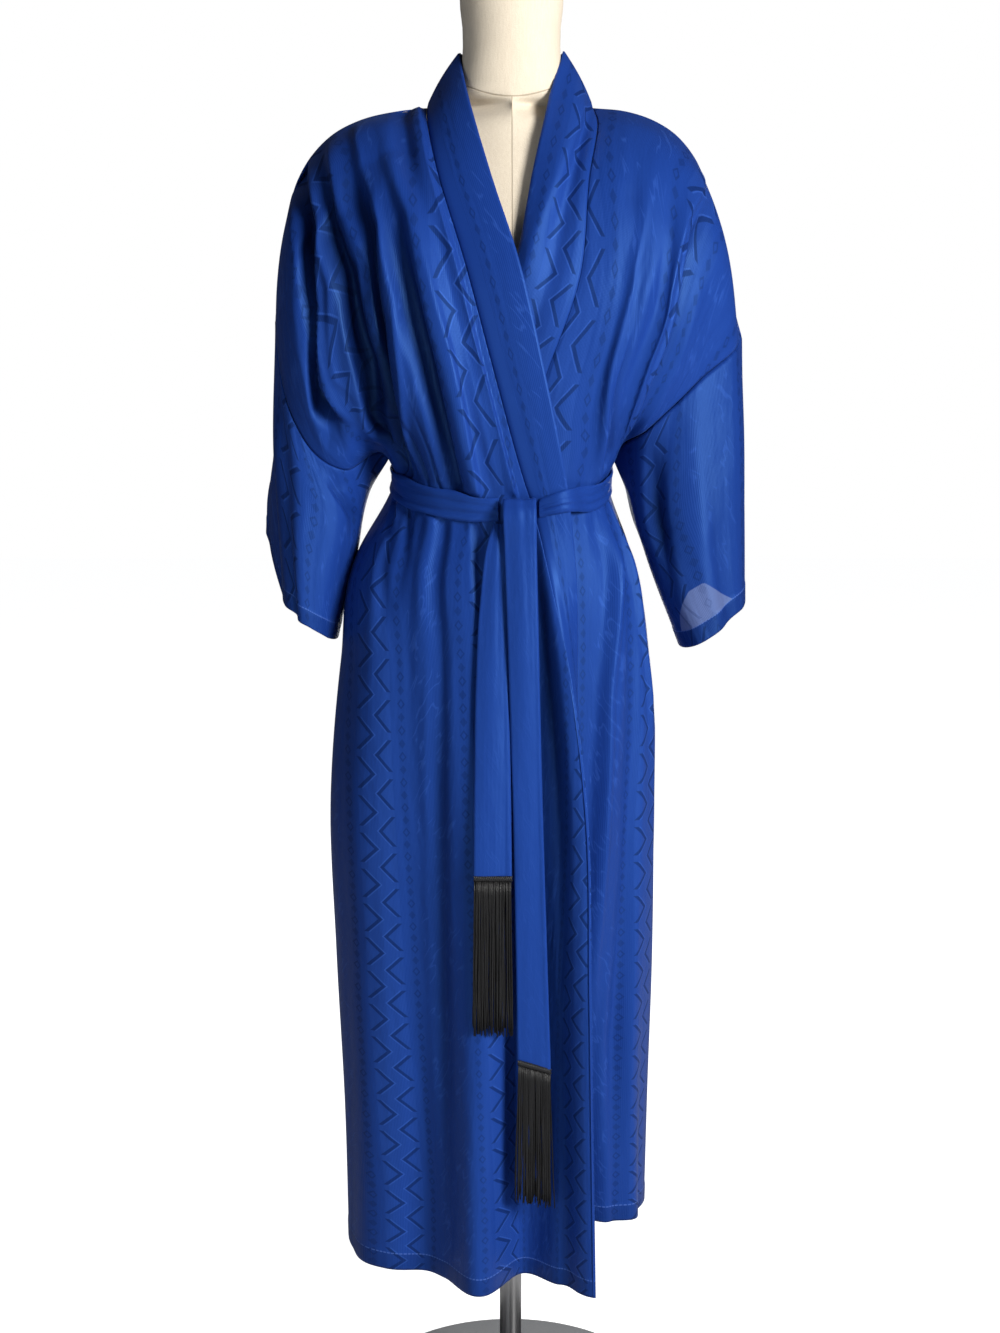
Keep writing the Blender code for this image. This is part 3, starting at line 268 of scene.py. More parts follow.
FOLDS_BACK = hanging(
    4, 10, (5.5, 1.8, -0.005, -0.009), (9.5, 1.9, 0.005, 0.008), (14.0, 2.0, -0.004, -0.008),
    (18.5, 1.9, 0.005, 0.008), (22.5, 1.8, -0.005, -0.008),
) + hanging(
    13, 23, (3.4, 1.7, 0.004, 0.012), (6.8, 1.7, -0.005, -0.016), (10.4, 1.8, 0.005, 0.017),
    (14.0, 1.8, -0.005, -0.018), (17.6, 1.8, 0.005, 0.017), (21.0, 1.7, -0.005, -0.014), (24.4, 1.7, 0.003, 0.009),
)
SLEEVE_REAR_FOLD = plain(1, 8, 14.5, 14.5, 1.8, -0.005, -0.006)
FOLDS_SLEEVE_RIGHT = (
    plain(1, 8, 3.0, 3.4, 1.6, -0.004, -0.006), plain(1, 8, 6.2, 5.8, 1.8, 0.005, 0.005), SLEEVE_REAR_FOLD,
)
FOLDS_SLEEVE_LEFT = (
    plain(1, 8, 3.0, 3.2, 1.7, -0.004, -0.005), plain(1, 8, 6.4, 5.8, 1.7, 0.004, 0.004), SLEEVE_REAR_FOLD,
)

# The smaller folds, which only the cloth here has
SMALL_FRONT_RIGHT = (
    Fold(((0.7, 8.8, -10), (3.5, 9.1, -22), (5.0, 10.8, -23), (6.1, 14.2, -17)), 0.8, 1.7),
    Fold(((2.4, 6.9, -8), (5.2, 7.2, -18), (7.1, 9.4, -21), (8.3, 11.4, -19), (9.4, 13.4, -12)), 0.75, 1.6),
    Fold(((2.0, 4.9, -6), (4.8, 4.8, -14), (6.7, 6.8, -18), (7.9, 9.0, -18), (9.6, 12.2, -12)), 0.75, 1.5),
    Fold(((2.8, 3.3, -2), (4.8, 3.1, -8), (6.4, 3.9, -14), (8.4, 5.3, -15), (10.2, 6.2, -10)), 0.8, 1.6),
    Fold(((2.5, 7.5, -2), (4.0, 7.5, -6), (6.0, 8.5, -11), (8.0, 10.0, -12), (9.4, 11.0, -9)), 5.0, 5.0),
    Fold(((3.0, 8.0, 2), (5.0, 8.9, 4), (6.6, 12.0, 3)), 0.9, 0.6, FoldShape.CREST, 1.0),
    Fold(((4.0, 5.9, 2), (5.4, 6.0, 4), (7.3, 8.4, 5), (8.6, 10.9, 4)), 0.9, 0.6, FoldShape.CREST, 1.0),
    Fold(((4.0, 3.8, 2), (6.4, 5.1, 5), (8.0, 7.7, 6), (9.3, 10.2, 5)), 0.9, 0.6, FoldShape.CREST, 1.0),
    Fold(((6.0, 2.4, 2), (7.6, 2.9, 6), (8.9, 3.6, 8), (10.2, 4.2, 8)), 0.5, 1.5, FoldShape.CREST, 1.0),
    Fold(((0.3, 0.42, 4.0), (3.0, 0.45, 6.5), (6.2, 0.6, 6.5), (8.0, 0.9, 6),
          (10.4, 1.1, 6)), 0.34, 0.9, FoldShape.CREST, 0.4),
    Fold(((0.6, 1.25, -4.0), (3.0, 1.35, -6.0), (4.6, 1.5, -2.0)), 0.6, 1.1, FoldShape.SOFT, 1.0),
    Fold(((9.0, 10.7, -2), (9.8, 12.2, -5)), 0.5, 0.5, FoldShape.CREASE, 1.0),
    Fold(((9.2, 9.2, -2), (9.9, 9.3, -5)), 0.5, 0.5, FoldShape.CREASE, 1.0),
    Fold(((9.4, 7.7, -2), (10.0, 8.0, -4)), 0.4, 0.4, FoldShape.CREASE, 1.0),
    Fold(((11.7, 12.2, -5), (12.7, 10.6, -3), (14.0, 10.4, 0)), 0.8, 0.8, FoldShape.SOFT, 0.5),
    Fold(((11.8, 8.0, -4), (14.1, 7.6, -5), (16.6, 8.0, -5), (19.2, 8.2, -5), (21.0, 8.1, -2)), 0.9, 0.9),
    Fold(((11.7, 15.2, -5), (12.5, 12.8, -4), (13.6, 11.4, -2)), 0.9, 0.9, FoldShape.SOFT, 0.5),
    Fold(((11.7, 5.2, -4), (13.4, 4.6, -5), (15.6, 5.4, -3)), 0.7, 0.7, FoldShape.SOFT, 1.0),
    Fold(((11.8, 9.3, 3), (13.4, 8.9, 3), (15.5, 9.1, 1)), 0.9, 0.9),
    Fold(((11.8, 13.6, 3), (13.4, 12.3, 2), (15.5, 12.0, 0)), 0.9, 0.9),
    Fold(((13.0, 0.0, 0), (15.0, 0.0, 5), (20.0, 0.0, 7), (23.0, 0.0, 3)), 0.5, 1.6, FoldShape.SOFT, 1.0),
    Fold(((11.9, 0.9, -5), (13.4, 1.2, -12), (15.5, 1.7, -13), (18.0, 1.9, -9), (20.5, 1.9, -8),
          (23.0, 1.9, -5)), 1.1, 2.4, FoldShape.SOFT, 0.4),
)
SMALL_FRONT_LEFT = (
    Fold(((3.2, 3.0, -1), (4.3, 3.2, -3), (4.9, 3.8, -1)), 1.2, 1.2, FoldShape.SOFT, 1.5),
    Fold(((4.6, 4.4, 1), (5.6, 4.5, 3), (6.6, 5.4, 4), (7.8, 7.1, 5), (9.1, 8.9, 5),
          (10.2, 10.0, 4)), 1.0, 0.5, FoldShape.CREST, 1.0),
    Fold(((6.1, 5.4, -1), (6.9, 7.0, -2), (8.0, 8.4, -4), (9.5, 11.1, -4)), 0.5, 0.7, FoldShape.SOFT, 1.0),
    Fold(((1.2, 7.8, 2), (3.7, 7.5, 7), (4.5, 7.9, 9), (5.4, 8.6, 10), (6.2, 9.5, 10), (6.9, 10.3, 9),
          (7.8, 11.6, 8), (9.5, 12.6, 5)),
         1.9, 0.45, FoldShape.CREST, 1.0),
    Fold(((2.5, 8.9, -3), (3.7, 8.9, -9), (5.4, 10.2, -15), (6.9, 12.0, -16),
          (8.8, 13.8, -11)), 0.9, 2.0, FoldShape.SOFT, 1.0),
    Fold(((12.0, 12.4, 3), (13.6, 10.5, 6), (15.4, 9.1, 7), (17.6, 8.4, 5),
          (18.8, 7.9, 2)), 1.6, 0.5, FoldShape.CREST, 1.0),
    Fold(((12.6, 14.9, 2), (14.1, 14.4, 4), (15.5, 14.9, 4)), 0.7, 0.7, FoldShape.CREST, 1.0),
)
SMALL_SLEEVE_REAR = (
    Fold(((0.5, 12.0, -2), (4.0, 12.0, -4), (8.0, 12.0, -5)), 1.1, 1.1),
    Fold(((0.5, 17.0, 2), (4.0, 17.0, 4), (8.0, 17.0, 4)), 1.1, 1.1),
)
SMALL_SLEEVE_RIGHT = (
    Fold(((0.3, 7.6, -3), (1.1, 6.9, -6), (2.4, 8.0, -5)), 0.9, 0.9, FoldShape.SOFT, 1.0),
    Fold(((1.0, 4.6, 2), (4.0, 4.4, 4), (7.0, 4.2, 3)), 1.0, 1.0),
) + SMALL_SLEEVE_REAR
SMALL_SLEEVE_LEFT = (
    Fold(((0.0, 7.8, -3), (1.3, 7.2, -9), (3.0, 6.8, -10), (5.0, 6.9, -3)), 1.3, 0.9, FoldShape.SOFT, 1.5),
    Fold(((0.0, 6.0, -3), (3.0, 6.0, -4.5), (7.0, 6.0, -4), (9.0, 6.0, -2)), 5.0, 5.0),
    Fold(((1.0, 5.0, 2), (4.0, 4.7, 4), (7.0, 4.4, 2)), 1.0, 1.0),
) + SMALL_SLEEVE_REAR


def gather(
    places: Sequence[tuple[float, float, float]], column: float, lean: float, sign: int, fade: float
) -> Fold:
    """A small gather by the sash: the row, share of the lean and height of each of its places."""
    path = tuple((row, column + part * lean, tall * sign) for row, part, tall in places)
    return Fold(path, 0.7, 0.7, FoldShape.SOFT, fade)


# Gathers of the back below and above the sash: the column, lean and sign of each
SMALL_BACK = tuple(
    gather(((11.6, 0, 3), (13.4, 1, 4), (16.0, 1.5, 1)), column, lean, sign, 2.0)
    for column, lean, sign in (
        (3.0, -0.3, -1), (5.2, -0.3, 1), (7.4, -0.2, -1), (9.4, -0.1, 1), (11.6, -0.1, -1), (13.0, 0.0, 1),
        (15.1, 0.1, -1), (17.0, 0.1, 1), (19.2, 0.1, -1), (21.4, 0.2, 1), (23.6, 0.3, -1), (25.4, 0.3, 1),
    )
) + tuple(
    gather(((6.5, 1, 1), (8.8, 0, 4), (10.2, 0, 5)), column, lean, sign, 1.5)
    for column, lean, sign in (
        (3.6, -0.6, -1), (7.4, -0.5, 1), (11.4, -0.2, -1), (12.9, 0.0, 1), (16.2, 0.2, -1), (20.5, 0.5, 1),
        (24.6, 0.6, -1),
    )
)


def slopes(points: np.ndarray, knots: np.ndarray) -> np.ndarray:
    """Slopes of the smooth curve through points, per unit of knot distance.

    Args:
        points: the points, along the first axis.
        knots: the distance of each point along the curve.

    Returns:
        One slope for each point.
    """
    gap = np.diff(knots).reshape((-1,) + (1,) * (points.ndim - 1))
    steep = np.diff(points, axis=0) / gap
    middle = (steep[:-1] * gap[1:] + steep[1:] * gap[:-1]) / (gap[:-1] + gap[1:])
    return np.concatenate([steep[:1], middle, steep[-1:]])


def hermite(points: np.ndarray, knots: np.ndarray, index: np.ndarray, share: np.ndarray) -> np.ndarray:
    """Points on the smooth curve through points.

    Args:
        points: the points, along the first axis.
        knots: the distance of each point along the curve.
        index: for each wanted point, the point before it.
        share: for each wanted point, its share of the way to the next.

    Returns:
        The wanted points.
    """
    slope = slopes(points, knots)
    shape = (-1,) + (1,) * (points.ndim - 1)
    t = share.reshape(shape)
    span = np.diff(knots)[index].reshape(shape)
    return (
        points[index] * (2 * t**3 - 3 * t**2 + 1) + slope[index] * span * (t**3 - 2 * t**2 + t)
        + points[index + 1] * (3 * t**2 - 2 * t**3) + slope[index + 1] * span * (t**3 - t**2)
    )


def lengths_along(points: np.ndarray) -> np.ndarray:
    """Distance along a row of points, from the first to each."""
    return np.concatenate([[0.0], np.cumsum(np.linalg.norm(np.diff(points, axis=0), axis=1))])


def along_curve(points: Sequence[Sequence[float]], shares: np.ndarray) -> np.ndarray:
    """Points at shares of the length of the smooth curve through the given ones.

    Args:
        points: the curve's own points.
        shares: from 0 at its start to 1 at its end.

    Returns:
        One point for each share.
    """
    given = np.array(points, float)
    index = np.repeat(np.arange(len(given) - 1), SMOOTH_STEPS)
    share = np.tile(np.arange(SMOOTH_STEPS) / SMOOTH_STEPS, len(given) - 1)
    dense = np.concatenate([hermite(given, lengths_along(given), index, share), given[-1:]])
    length = lengths_along(dense)
    return np.stack([np.interp(shares * length[-1], length, dense[:, k]) for k in range(3)], axis=1)


def quarter_turn(
    start: Sequence[float], end: Sequence[float], square: float, forward: float, shares: np.ndarray
) -> np.ndarray:
    """Section from start, which faces along Y, round a corner to end, which faces along X.

    Args:
        start: its first point.
        end: its last point.
        square: how square the corner is, where 2 is round.
        forward: how far the middle is pushed to the front.
        shares: where the wanted points lie, from 0 to 1 by length.

    Returns:
        One point for each share.
    """
    turn = np.linspace(0, math.pi / 2, SMOOTH_STEPS + 1)
    first, last = np.array(start, float), np.array(end, float)
    out = np.sin(turn) ** (2 / square)
    back = 1 - np.clip(np.cos(turn), 0, 1) ** (2 / square)
    points = first + (last - first) * np.stack([out, back, back], axis=1)
    points[:, 1] -= forward * np.sin(2 * turn)
    return along_curve(points, shares)


def loft(sections: np.ndarray, steps: Sequence[int], rows: np.ndarray) -> np.ndarray:
    """Smooth surface through sections, at any rows.

    Args:
        sections: sections by points.
        steps: how many rows lie from each section to the next.
        rows: the wanted rows.

    Returns:
        One line of points for each row.
    """
    knots = lengths_along(sections[:, sections.shape[1] // 2])
    starts = np.concatenate([[0], np.cumsum(steps)])
    index = np.clip(np.searchsorted(starts, rows, side="right") - 1, 0, len(steps) - 1)
    share = (rows - starts[index]) / np.array(steps)[index]
    return hermite(sections, knots, index, share)


class Edge(Enum):
    """An edge of a piece's grid: its top row, or its first or last column."""

    TOP = "top"
    FIRST = "first"
    LAST = "last"


@dataclass
class Drape:
    """The outer side of a piece of cloth on a fine grid, with its pattern's coordinates."""

    points: np.ndarray
    rows: np.ndarray
    columns: np.ndarray
    side: int
    closed: bool = False
    cloth: np.ndarray | None = None
    marks: dict[str, np.ndarray] = field(default_factory=dict)

    def normals(self) -> np.ndarray:
        """Unit normals of the grid that point out of the robe."""
        across = np.gradient(self.points, axis=1)
        if self.closed:
            ends = self.points[:, 1] - self.points[:, -2]
            across[:, 0] = across[:, -1] = ends / 2
        down = np.gradient(self.points, axis=0)
        facing = np.cross(across, down) * self.side
        size = np.linalg.norm(facing, axis=2, keepdims=True)
        return facing / np.maximum(size, 1e-12)

    def raise_by(self, height: np.ndarray) -> None:
        """Move every point along its normal by its height."""
        self.points = self.points + self.normals() * height[:, :, None]
        if self.closed:
            self.points[:, -1] = self.points[:, 0]

    def fold(self, folds: Iterable[Fold], share: np.ndarray, calm: Sequence[Sequence[float]]) -> None:
        """Raise the cloth by its folds, and mark each point's painted shade, darker the deeper it sinks.

        Args:
            folds: the folds.
            share: how much of them each line takes.
            calm: places round which they die out.
        """
        height = sum(each.height(self.rows, self.columns) for each in folds) * share[:, None]
        for place in calm:
            near = np.linalg.norm(self.points - np.array(place), axis=2)
            height = height * np.clip(near / CALM_RADIUS, 0, 1)
        self.raise_by(height)
        # painted shade: fold valleys are marked to be coloured darker, fully at the set depth
        self.marks["deep"] = np.clip(-height / PAINTED_SHADE_FULL_DEPTH, 0, 1)

    def sink_seams(self, edges: Iterable[Edge], depth: float = 0.0009, reach: float = 0.004) -> None:
        """Draw the cloth in along seams, so that each reads as a stitched line.

        Args:
            edges: the edges that are seams.
            depth: how far the seam itself is drawn in.
            reach: how far from the seam the cloth follows.
        """
        away = np.full(self.points.shape[:2], 1.0)
        down = np.linalg.norm(np.diff(self.points, axis=0), axis=2)
        across = np.linalg.norm(np.diff(self.points, axis=1), axis=2)
        for edge in edges:
            if edge is Edge.TOP:
                run = np.concatenate([np.zeros((1, down.shape[1])), np.cumsum(down, axis=0)])
            elif edge is Edge.FIRST:
                run = np.concatenate([np.zeros((across.shape[0], 1)), np.cumsum(across, axis=1)], axis=1)
            else:
                back = np.cumsum(across[:, ::-1], axis=1)[:, ::-1]
                run = np.concatenate([back, np.zeros((across.shape[0], 1))], axis=1)
            away = np.minimum(away, run)
        share = np.clip(away / reach, 0, 1)
        self.raise_by(-depth * 0.5 * (1 + np.cos(np.pi * share)))


def fine_rows(last: float, step: float, hem_from: float, hem_step: float) -> np.ndarray:
    """Rows of a fine grid from 0 to last, closer together next to the hem."""
    rows = np.arange(0, last + 1e-9, step)
    return np.concatenate([rows[rows < hem_from - 1e-6], np.arange(hem_from, last + 1e-9, hem_step)])


FRONT_ROWS = fine_rows(LAST_ROW, 1 / 8, 22.5, 1 / 24)
FRONT_FINE = np.concatenate([np.arange(0, 1, 1 / 12), np.arange(1, FRONT_COLUMNS + 1e-9, 1 / 8)])
# How much of the large and of the small folds each line of a front or the back takes
LARGE_SHARE = np.interp(FRONT_ROWS, np.arange(len(SHARE_BY_ROW)), SHARE_BY_ROW)
SMALL_SHARE = np.interp(FRONT_ROWS, (10.2, 10.5, 11.5, 11.8), (1, 0, 0, 1))


class Side(Enum):
    """The wearer's side that a piece is on. Its value is the sign of X there."""

    RIGHT = -1
    LEFT = 1


@dataclass(frozen=True)
class ClothFinish:
    """Satin jacquard: its colours, how much of each shows, its shine and its hem stitches, with painted shade for fold
    valleys and painted light through the cuff's single layer.
    """

    name: str
    roughness: float = 0.42
    brush: float = 0.3
    ground: Colour = (0.0088, 0.037, 0.215)
    motif: Colour = (0.0024, 0.01, 0.064)
    thread: Colour = (0.033, 0.1, 0.43)
    # painted shade: the colour that fold valleys and the left sleeve are darkened towards
    depth: Colour = (0.0008, 0.0045, 0.034)
    stitch: Colour = (0.07, 0.14, 0.44)
    # painted light: paler colours where light from behind shows through the cuff's single layer
    painted_backlight: Colour = (0.082, 0.114, 0.255)
    painted_backlight_motif: Colour = (0.034, 0.052, 0.15)
    motif_share: float = 0.68
    edge_share: float = 0.42
    band_share: float = 0.1
    cloudy_share: float = 0.16
    # how much of the painted shade colour the deepest fold valleys take
    painted_shade_share: float = 0.85
    hem_width: float = 0.018
    stitch_line: float = 0.0185
    stitch_pitch: float = 0.0034
    stitch_half_length: float = 0.0012
    stitch_half_width: float = 0.0006
    stitch_share: float = 0.6
    turned_share: float = 0.3
    # how much of the painted light the cuff patch takes
    painted_backlight_share: float = 0.92
    motif_roughness: float = 0.14
    crease_bump: tuple[float, float] = (0.5, 0.006)
    weave_bump: tuple[float, float] = (0.35, 0.0002)


@dataclass(frozen=True)
class LinenFinish:
    """Unbleached linen canvas: its colours, its shine, and where its neck seam runs in front."""

    name: str = "form_linen_canvas"
    roughness: float = 0.88
    sheen: float = 0.1
    dark: Colour = (0.53, 0.44, 0.325)
    light: Colour = (0.82, 0.745, 0.615)
    seam: Colour = (0.25, 0.19, 0.12)
    seam_share: float = 0.62
    seam_half: float = 0.0006
    seam_level: float = 1.462
    bump: tuple[float, float] = (0.4, 0.0006)


@dataclass(frozen=True)
class YarnFinish:
    """Black rayon yarn: its two shades, its shine and its twist."""

    name: str = "fringe_yarn"
    roughness: float = 0.42
    specular: float = 0.3
    dark: Colour = (0.0004, 0.0004, 0.0005)
    light: Colour = (0.0115, 0.0115, 0.0128)
    twist_share: float = 0.25
    lightest: float = 1.6
    bump: tuple[float, float] = (0.5, 0.0004)


@dataclass(frozen=True)
class MetalFinish:
    """A metal or painted surface: its two colours, its shine and how its grain is stretched."""

    name: str
    dark: Colour
    light: Colour
    roughness: float
    metallic: float
    stretch: tuple[float, float, float]
    grain_roughness: float = 0.12
    bump: tuple[float, float] = (0.15, 0.0003)


POLE_STEEL = MetalFinish("pole_brushed_steel", (0.46, 0.46, 0.47), (0.66, 0.66, 0.67), 0.3, 1.0, (700, 700, 8))
BASE_PAINT = MetalFinish("base_paint_black", (0.022, 0.022, 0.024), (0.04, 0.04, 0.043), 0.42, 0.0, (420, 420, 420))


def shoulder_curve(line: Sequence[tuple[float, float]], sign: int) -> list[Point]:
    """The shoulder line's points in space, for the side with that sign of X."""
    return [(sign * out, 0.0, height) for out, height in line]


def underarm(table: Sequence[FrontSection]) -> Point:
    """Where a front's armhole seam meets its side seam."""
    return next(row.outer for row in table if row.name == "underarm")


def front_drape(
    table: Sequence[FrontSection], line: Sequence[tuple[float, float]], side: Side, large: Iterable[Fold],
    small: Iterable[Fold],
) -> Drape:
    """Surface of one front, with column 0 on the collar seam.

    Args:
        table: its sections.
        line: its shoulder line.
        side: the wearer's side it is on.
        large: the folds that the plain solid has too.
        small: the smaller folds.

    Returns:
        The folded surface.
    """
    shares = FRONT_FINE / FRONT_COLUMNS
    sections = [along_curve([table[0].seam] + shoulder_curve(line, side.value)[1:], shares)]
    sections += [quarter_turn(row.seam, row.outer, row.square, row.forward, shares) for row in table[1:]]
    points = loft(np.array(sections), SECTION_ROWS, FRONT_ROWS)
    drape = Drape(points, FRONT_ROWS, FRONT_FINE, -side.value)
    drape.fold(large, LARGE_SHARE, [underarm(table)])
    drape.fold(small, SMALL_SHARE, [underarm(table)])
    return drape


def back_drape() -> Drape:
    """Surface of the back, from the robe's right side seam to its left one."""
    half = np.arange(0, BACK_HALF + 1e-9, 1 / 5)
    neck_share = half[half < NECK_COLUMNS - 1e-9] / NECK_COLUMNS
    shoulder_share = (half[half >= NECK_COLUMNS - 1e-9] - NECK_COLUMNS) / (BACK_HALF - NECK_COLUMNS)
    halves = []
    for side, line, table in ((Side.RIGHT, SHOULDER_RIGHT, FRONT_RIGHT), (Side.LEFT, SHOULDER_LEFT, FRONT_LEFT)):
        sign = side.value
        shoulder = shoulder_curve(line, sign)
        neck = [(sign * x, y, z) for x, y, z in BACK_NECK_SEAM] + shoulder[:1]
        sections = [np.concatenate([along_curve(neck, neck_share), along_curve(shoulder, shoulder_share)])]
        outers = {row.name: row.outer for row in table}
        for row in BACK:
            armhole = row.right if side is Side.RIGHT else row.left
            outer = (sign * armhole[0], row.outer_y, armhole[1]) if armhole else outers[row.name]
            centre = (0.0, row.centre_y, row.centre_z)
            sections.append(quarter_turn(centre, outer, row.square, 0.0, half / BACK_HALF))
        halves.append(loft(np.array(sections), SECTION_ROWS, FRONT_ROWS))
    points = np.concatenate([halves[0][:, ::-1], halves[1][:, 1:]], axis=1)
    columns = np.concatenate([BACK_HALF - half[::-1], BACK_HALF + half[1:]])
    drape = Drape(points, FRONT_ROWS, columns, 1)
    calm = [underarm(FRONT_RIGHT), underarm(FRONT_LEFT)]
    drape.fold(FOLDS_BACK, LARGE_SHARE, calm)
    drape.fold(SMALL_BACK, SMALL_SHARE, calm)
    return drape


def meet(front: Drape, back: Drape, column: int) -> None:
    """Give a front and the back the same side seam, half way between their edges."""
    lower = front.rows >= UPPER_ROWS - 1e-9
    middle = (front.points[lower, -1] + back.points[lower, column]) / 2
    front.points[lower, -1] = middle
    back.points[lower, column] = middle


def sleeve_drape(
    front: Drape, back: Drape, column: int, rings: Sequence[Sequence[Sequence[float]]], side: Side,
    large: Iterable[Fold], small: Iterable[Fold],
) -> Drape:
    """Surface of a sleeve from the armhole seam to the cuff. Column 0 is on the shoulder line.

    Args:
        front: the front that it is sewn to.
        back: the back.
        column: the back's edge column on this side.
        rings: its rings below the seam.
        side: the wearer's side it is on.
        large: the folds that the plain solid has too.
        small: the smaller folds.

    Returns:
        The folded surface.
    """
    upper = front.rows <= UPPER_ROWS + 1e-9
    seam = np.concatenate([front.points[upper, -1], back.points[upper, column][::-1][1:]])
    columns = np.concatenate([front.rows[upper], 2 * UPPER_ROWS - front.rows[upper][::-1][1:]])
    turn = 2 * np.pi * columns / (2 * UPPER_ROWS)
    power = 2 / SLEEVE_SQUARE
    sections = [seam]
    for outer, fore, inner, rear in (np.array(ring, float) for ring in rings):
        centre = (outer + inner) / 2
        sideways = np.where(np.cos(turn)[:, None] > 0, outer - centre, inner - centre)
        ahead = np.where(np.sin(turn)[:, None] > 0, fore - centre, rear - centre)
        ring = centre + sideways * (np.abs(np.cos(turn)) ** power)[:, None]
        sections.append(ring + ahead * (np.abs(np.sin(turn)) ** power)[:, None])
    rows = fine_rows(sum(SLEEVE_SECTION_ROWS), 1 / 10, 7.4, 1 / 16)
    points = loft(np.array(sections), SLEEVE_SECTION_ROWS, rows)
    points[:, -1] = points[:, 0]
    drape = Drape(points, rows, columns, side.value, closed=True)
    share = np.interp(rows, (0, 1, 2), (0, 0.6, 1))
    calm = [tuple(front.points[upper, -1][-1])]
    drape.fold(large, share, calm)
    drape.fold(small, share, calm)
    return drape


def lay_pattern(
    drape: Drape, across: Sequence[tuple[float, ...]], down: Sequence[tuple[float, float]], along: float = 0.5
) -> None:
    """Give the cloth its pattern coordinates.

    Args:
        drape: the cloth.
        across: rows of a table: a row, then pairs of a column and the coordinate there.
        down: rows, and how much of the pattern a length of cloth takes up there.
        along: which column lengths are measured along, as a share of the width.
    """
    table_rows = [line[0] for line in across]
    lines = np.array([np.interp(drape.columns, line[1::2], line[2::2]) for line in across])
    u = np.array([np.interp(drape.rows, table_rows, lines[:, k]) for k in range(lines.shape[1])]).T
    steps = np.diff(lengths_along(drape.points[:, round(along * (len(drape.columns) - 1))]))
    scale = np.interp((drape.rows[:-1] + drape.rows[1:]) / 2, [row for row, _ in down], [share for _, share in down])
    v = np.concatenate([[0.0], np.cumsum(steps * scale)])
    drape.cloth = np.stack([u, np.repeat(v[:, None], u.shape[1], axis=1)], axis=2)


def step_hem(drape: Drape, width: float = 0.018, thick: float = 0.0006, soft: float = 0.002) -> None:
    """Thicken the turned-up hem, and mark every point with its distance from the edge."""
    down = np.linalg.norm(np.diff(drape.points, axis=0), axis=2)
    run = np.cumsum(down[::-1], axis=0)[::-1]
    away = np.concatenate([run, np.zeros((1, run.shape[1]))])
    drape.marks["hem"] = away
    drape.raise_by(np.where(away < width, thick, thick * np.clip(1 - (away - width) / soft, 0, 1)))


def add_mesh(name: str, mesh: BMesh, material: Material, smooth: bool = True) -> Object:
    """Turn a bmesh into a shown object.

    Args:
        name: the object's name.
        mesh: its bmesh, which is freed.
        material: its material.
        smooth: whether it is shaded smooth.

    Returns:
        The object.
    """
    data = bpy.data.meshes.new(name)
    mesh.to_mesh(data)
    mesh.free()
    data.materials.append(material)
    if smooth:
        data.shade_smooth()
    return show(name, data)


def show(name: str, data: ID) -> Object:
    """Add an object that shows the data to the scene."""
    thing = bpy.data.objects.new(name, data)
    bpy.context.scene.collection.objects.link(thing)
    return thing


def grid_mesh(points: np.ndarray, cloth: np.ndarray, marks: dict[str, np.ndarray]) -> BMesh:
    """A grid laid on points.

    Args:
        points: where its points lie, lines by points across.
        cloth: the pattern coordinates of each.
        marks: further values of each, by name.

    Returns:
        The mesh, with a UV map and an attribute for each mark.
    """
    rows, columns = points.shape[:2]
    mesh = bmesh.new()
    bmesh.ops.create_grid(mesh, x_segments=columns - 1, y_segments=rows - 1, size=1.0)
    uv = mesh.loops.layers.uv.new(CLOTH_MAP)
    layers = {key: mesh.verts.layers.float.new(key) for key in marks}
    place = {}
    for vert in mesh.verts:
        spot = (round((vert.co.y + 1) / 2 * (rows - 1)), round((vert.co.x + 1) / 2 * (columns - 1)))
        place[vert] = spot
        vert.co = points[spot]
        for key, layer in layers.items():
            vert[layer] = marks[key][spot]
    for face in mesh.faces:
        for loop in face.loops:
            loop[uv].uv = cloth[place[loop.vert]]
    return mesh


def cloth_object(name: str, drape: Drape, material: Material) -> Object:
    """A piece of cloth from its surface.

    Args:
        name: the piece's name.
        drape: its outer side, with its pattern coordinates and its marks.
        material: its material.

    Returns:
        The object, with a Solidify modifier for its wall.
    """
    mesh = grid_mesh(drape.points, drape.cloth, drape.marks)
    if drape.closed:
        bmesh.ops.remove_doubles(mesh, verts=mesh.verts[:], dist=1e-5)
    if drape.side < 0:
        bmesh.ops.reverse_faces(mesh, faces=mesh.faces[:])
    thing = add_mesh(name, mesh, material)
    wall = thing.modifiers.new("wall", "SOLIDIFY")
    wall.thickness = CLOTH_WALL
    wall.offset = -1.0
    wall.use_even_offset = False
    return thing


def rounded_edge(outer: np.ndarray, inner: np.ndarray, edge: int, beside: int) -> np.ndarray:
    """The fold that joins a band's two sides along one edge.

    Args:
        outer: points of its outer side.
        inner: points of its inner side.
        edge: the edge's column.
        beside: the column next to it.

    Returns:
        One point for each line, a little outside the edge.
    """
    bulge = np.linalg.norm(outer[:, edge] - inner[:, edge], axis=1)[:, None] * 0.45
    step = outer[:, edge] - outer[:, beside]
    step = step / np.linalg.norm(step, axis=1)[:, None]
    return ((outer[:, edge] + inner[:, edge]) / 2 + step * bulge)[:, None]


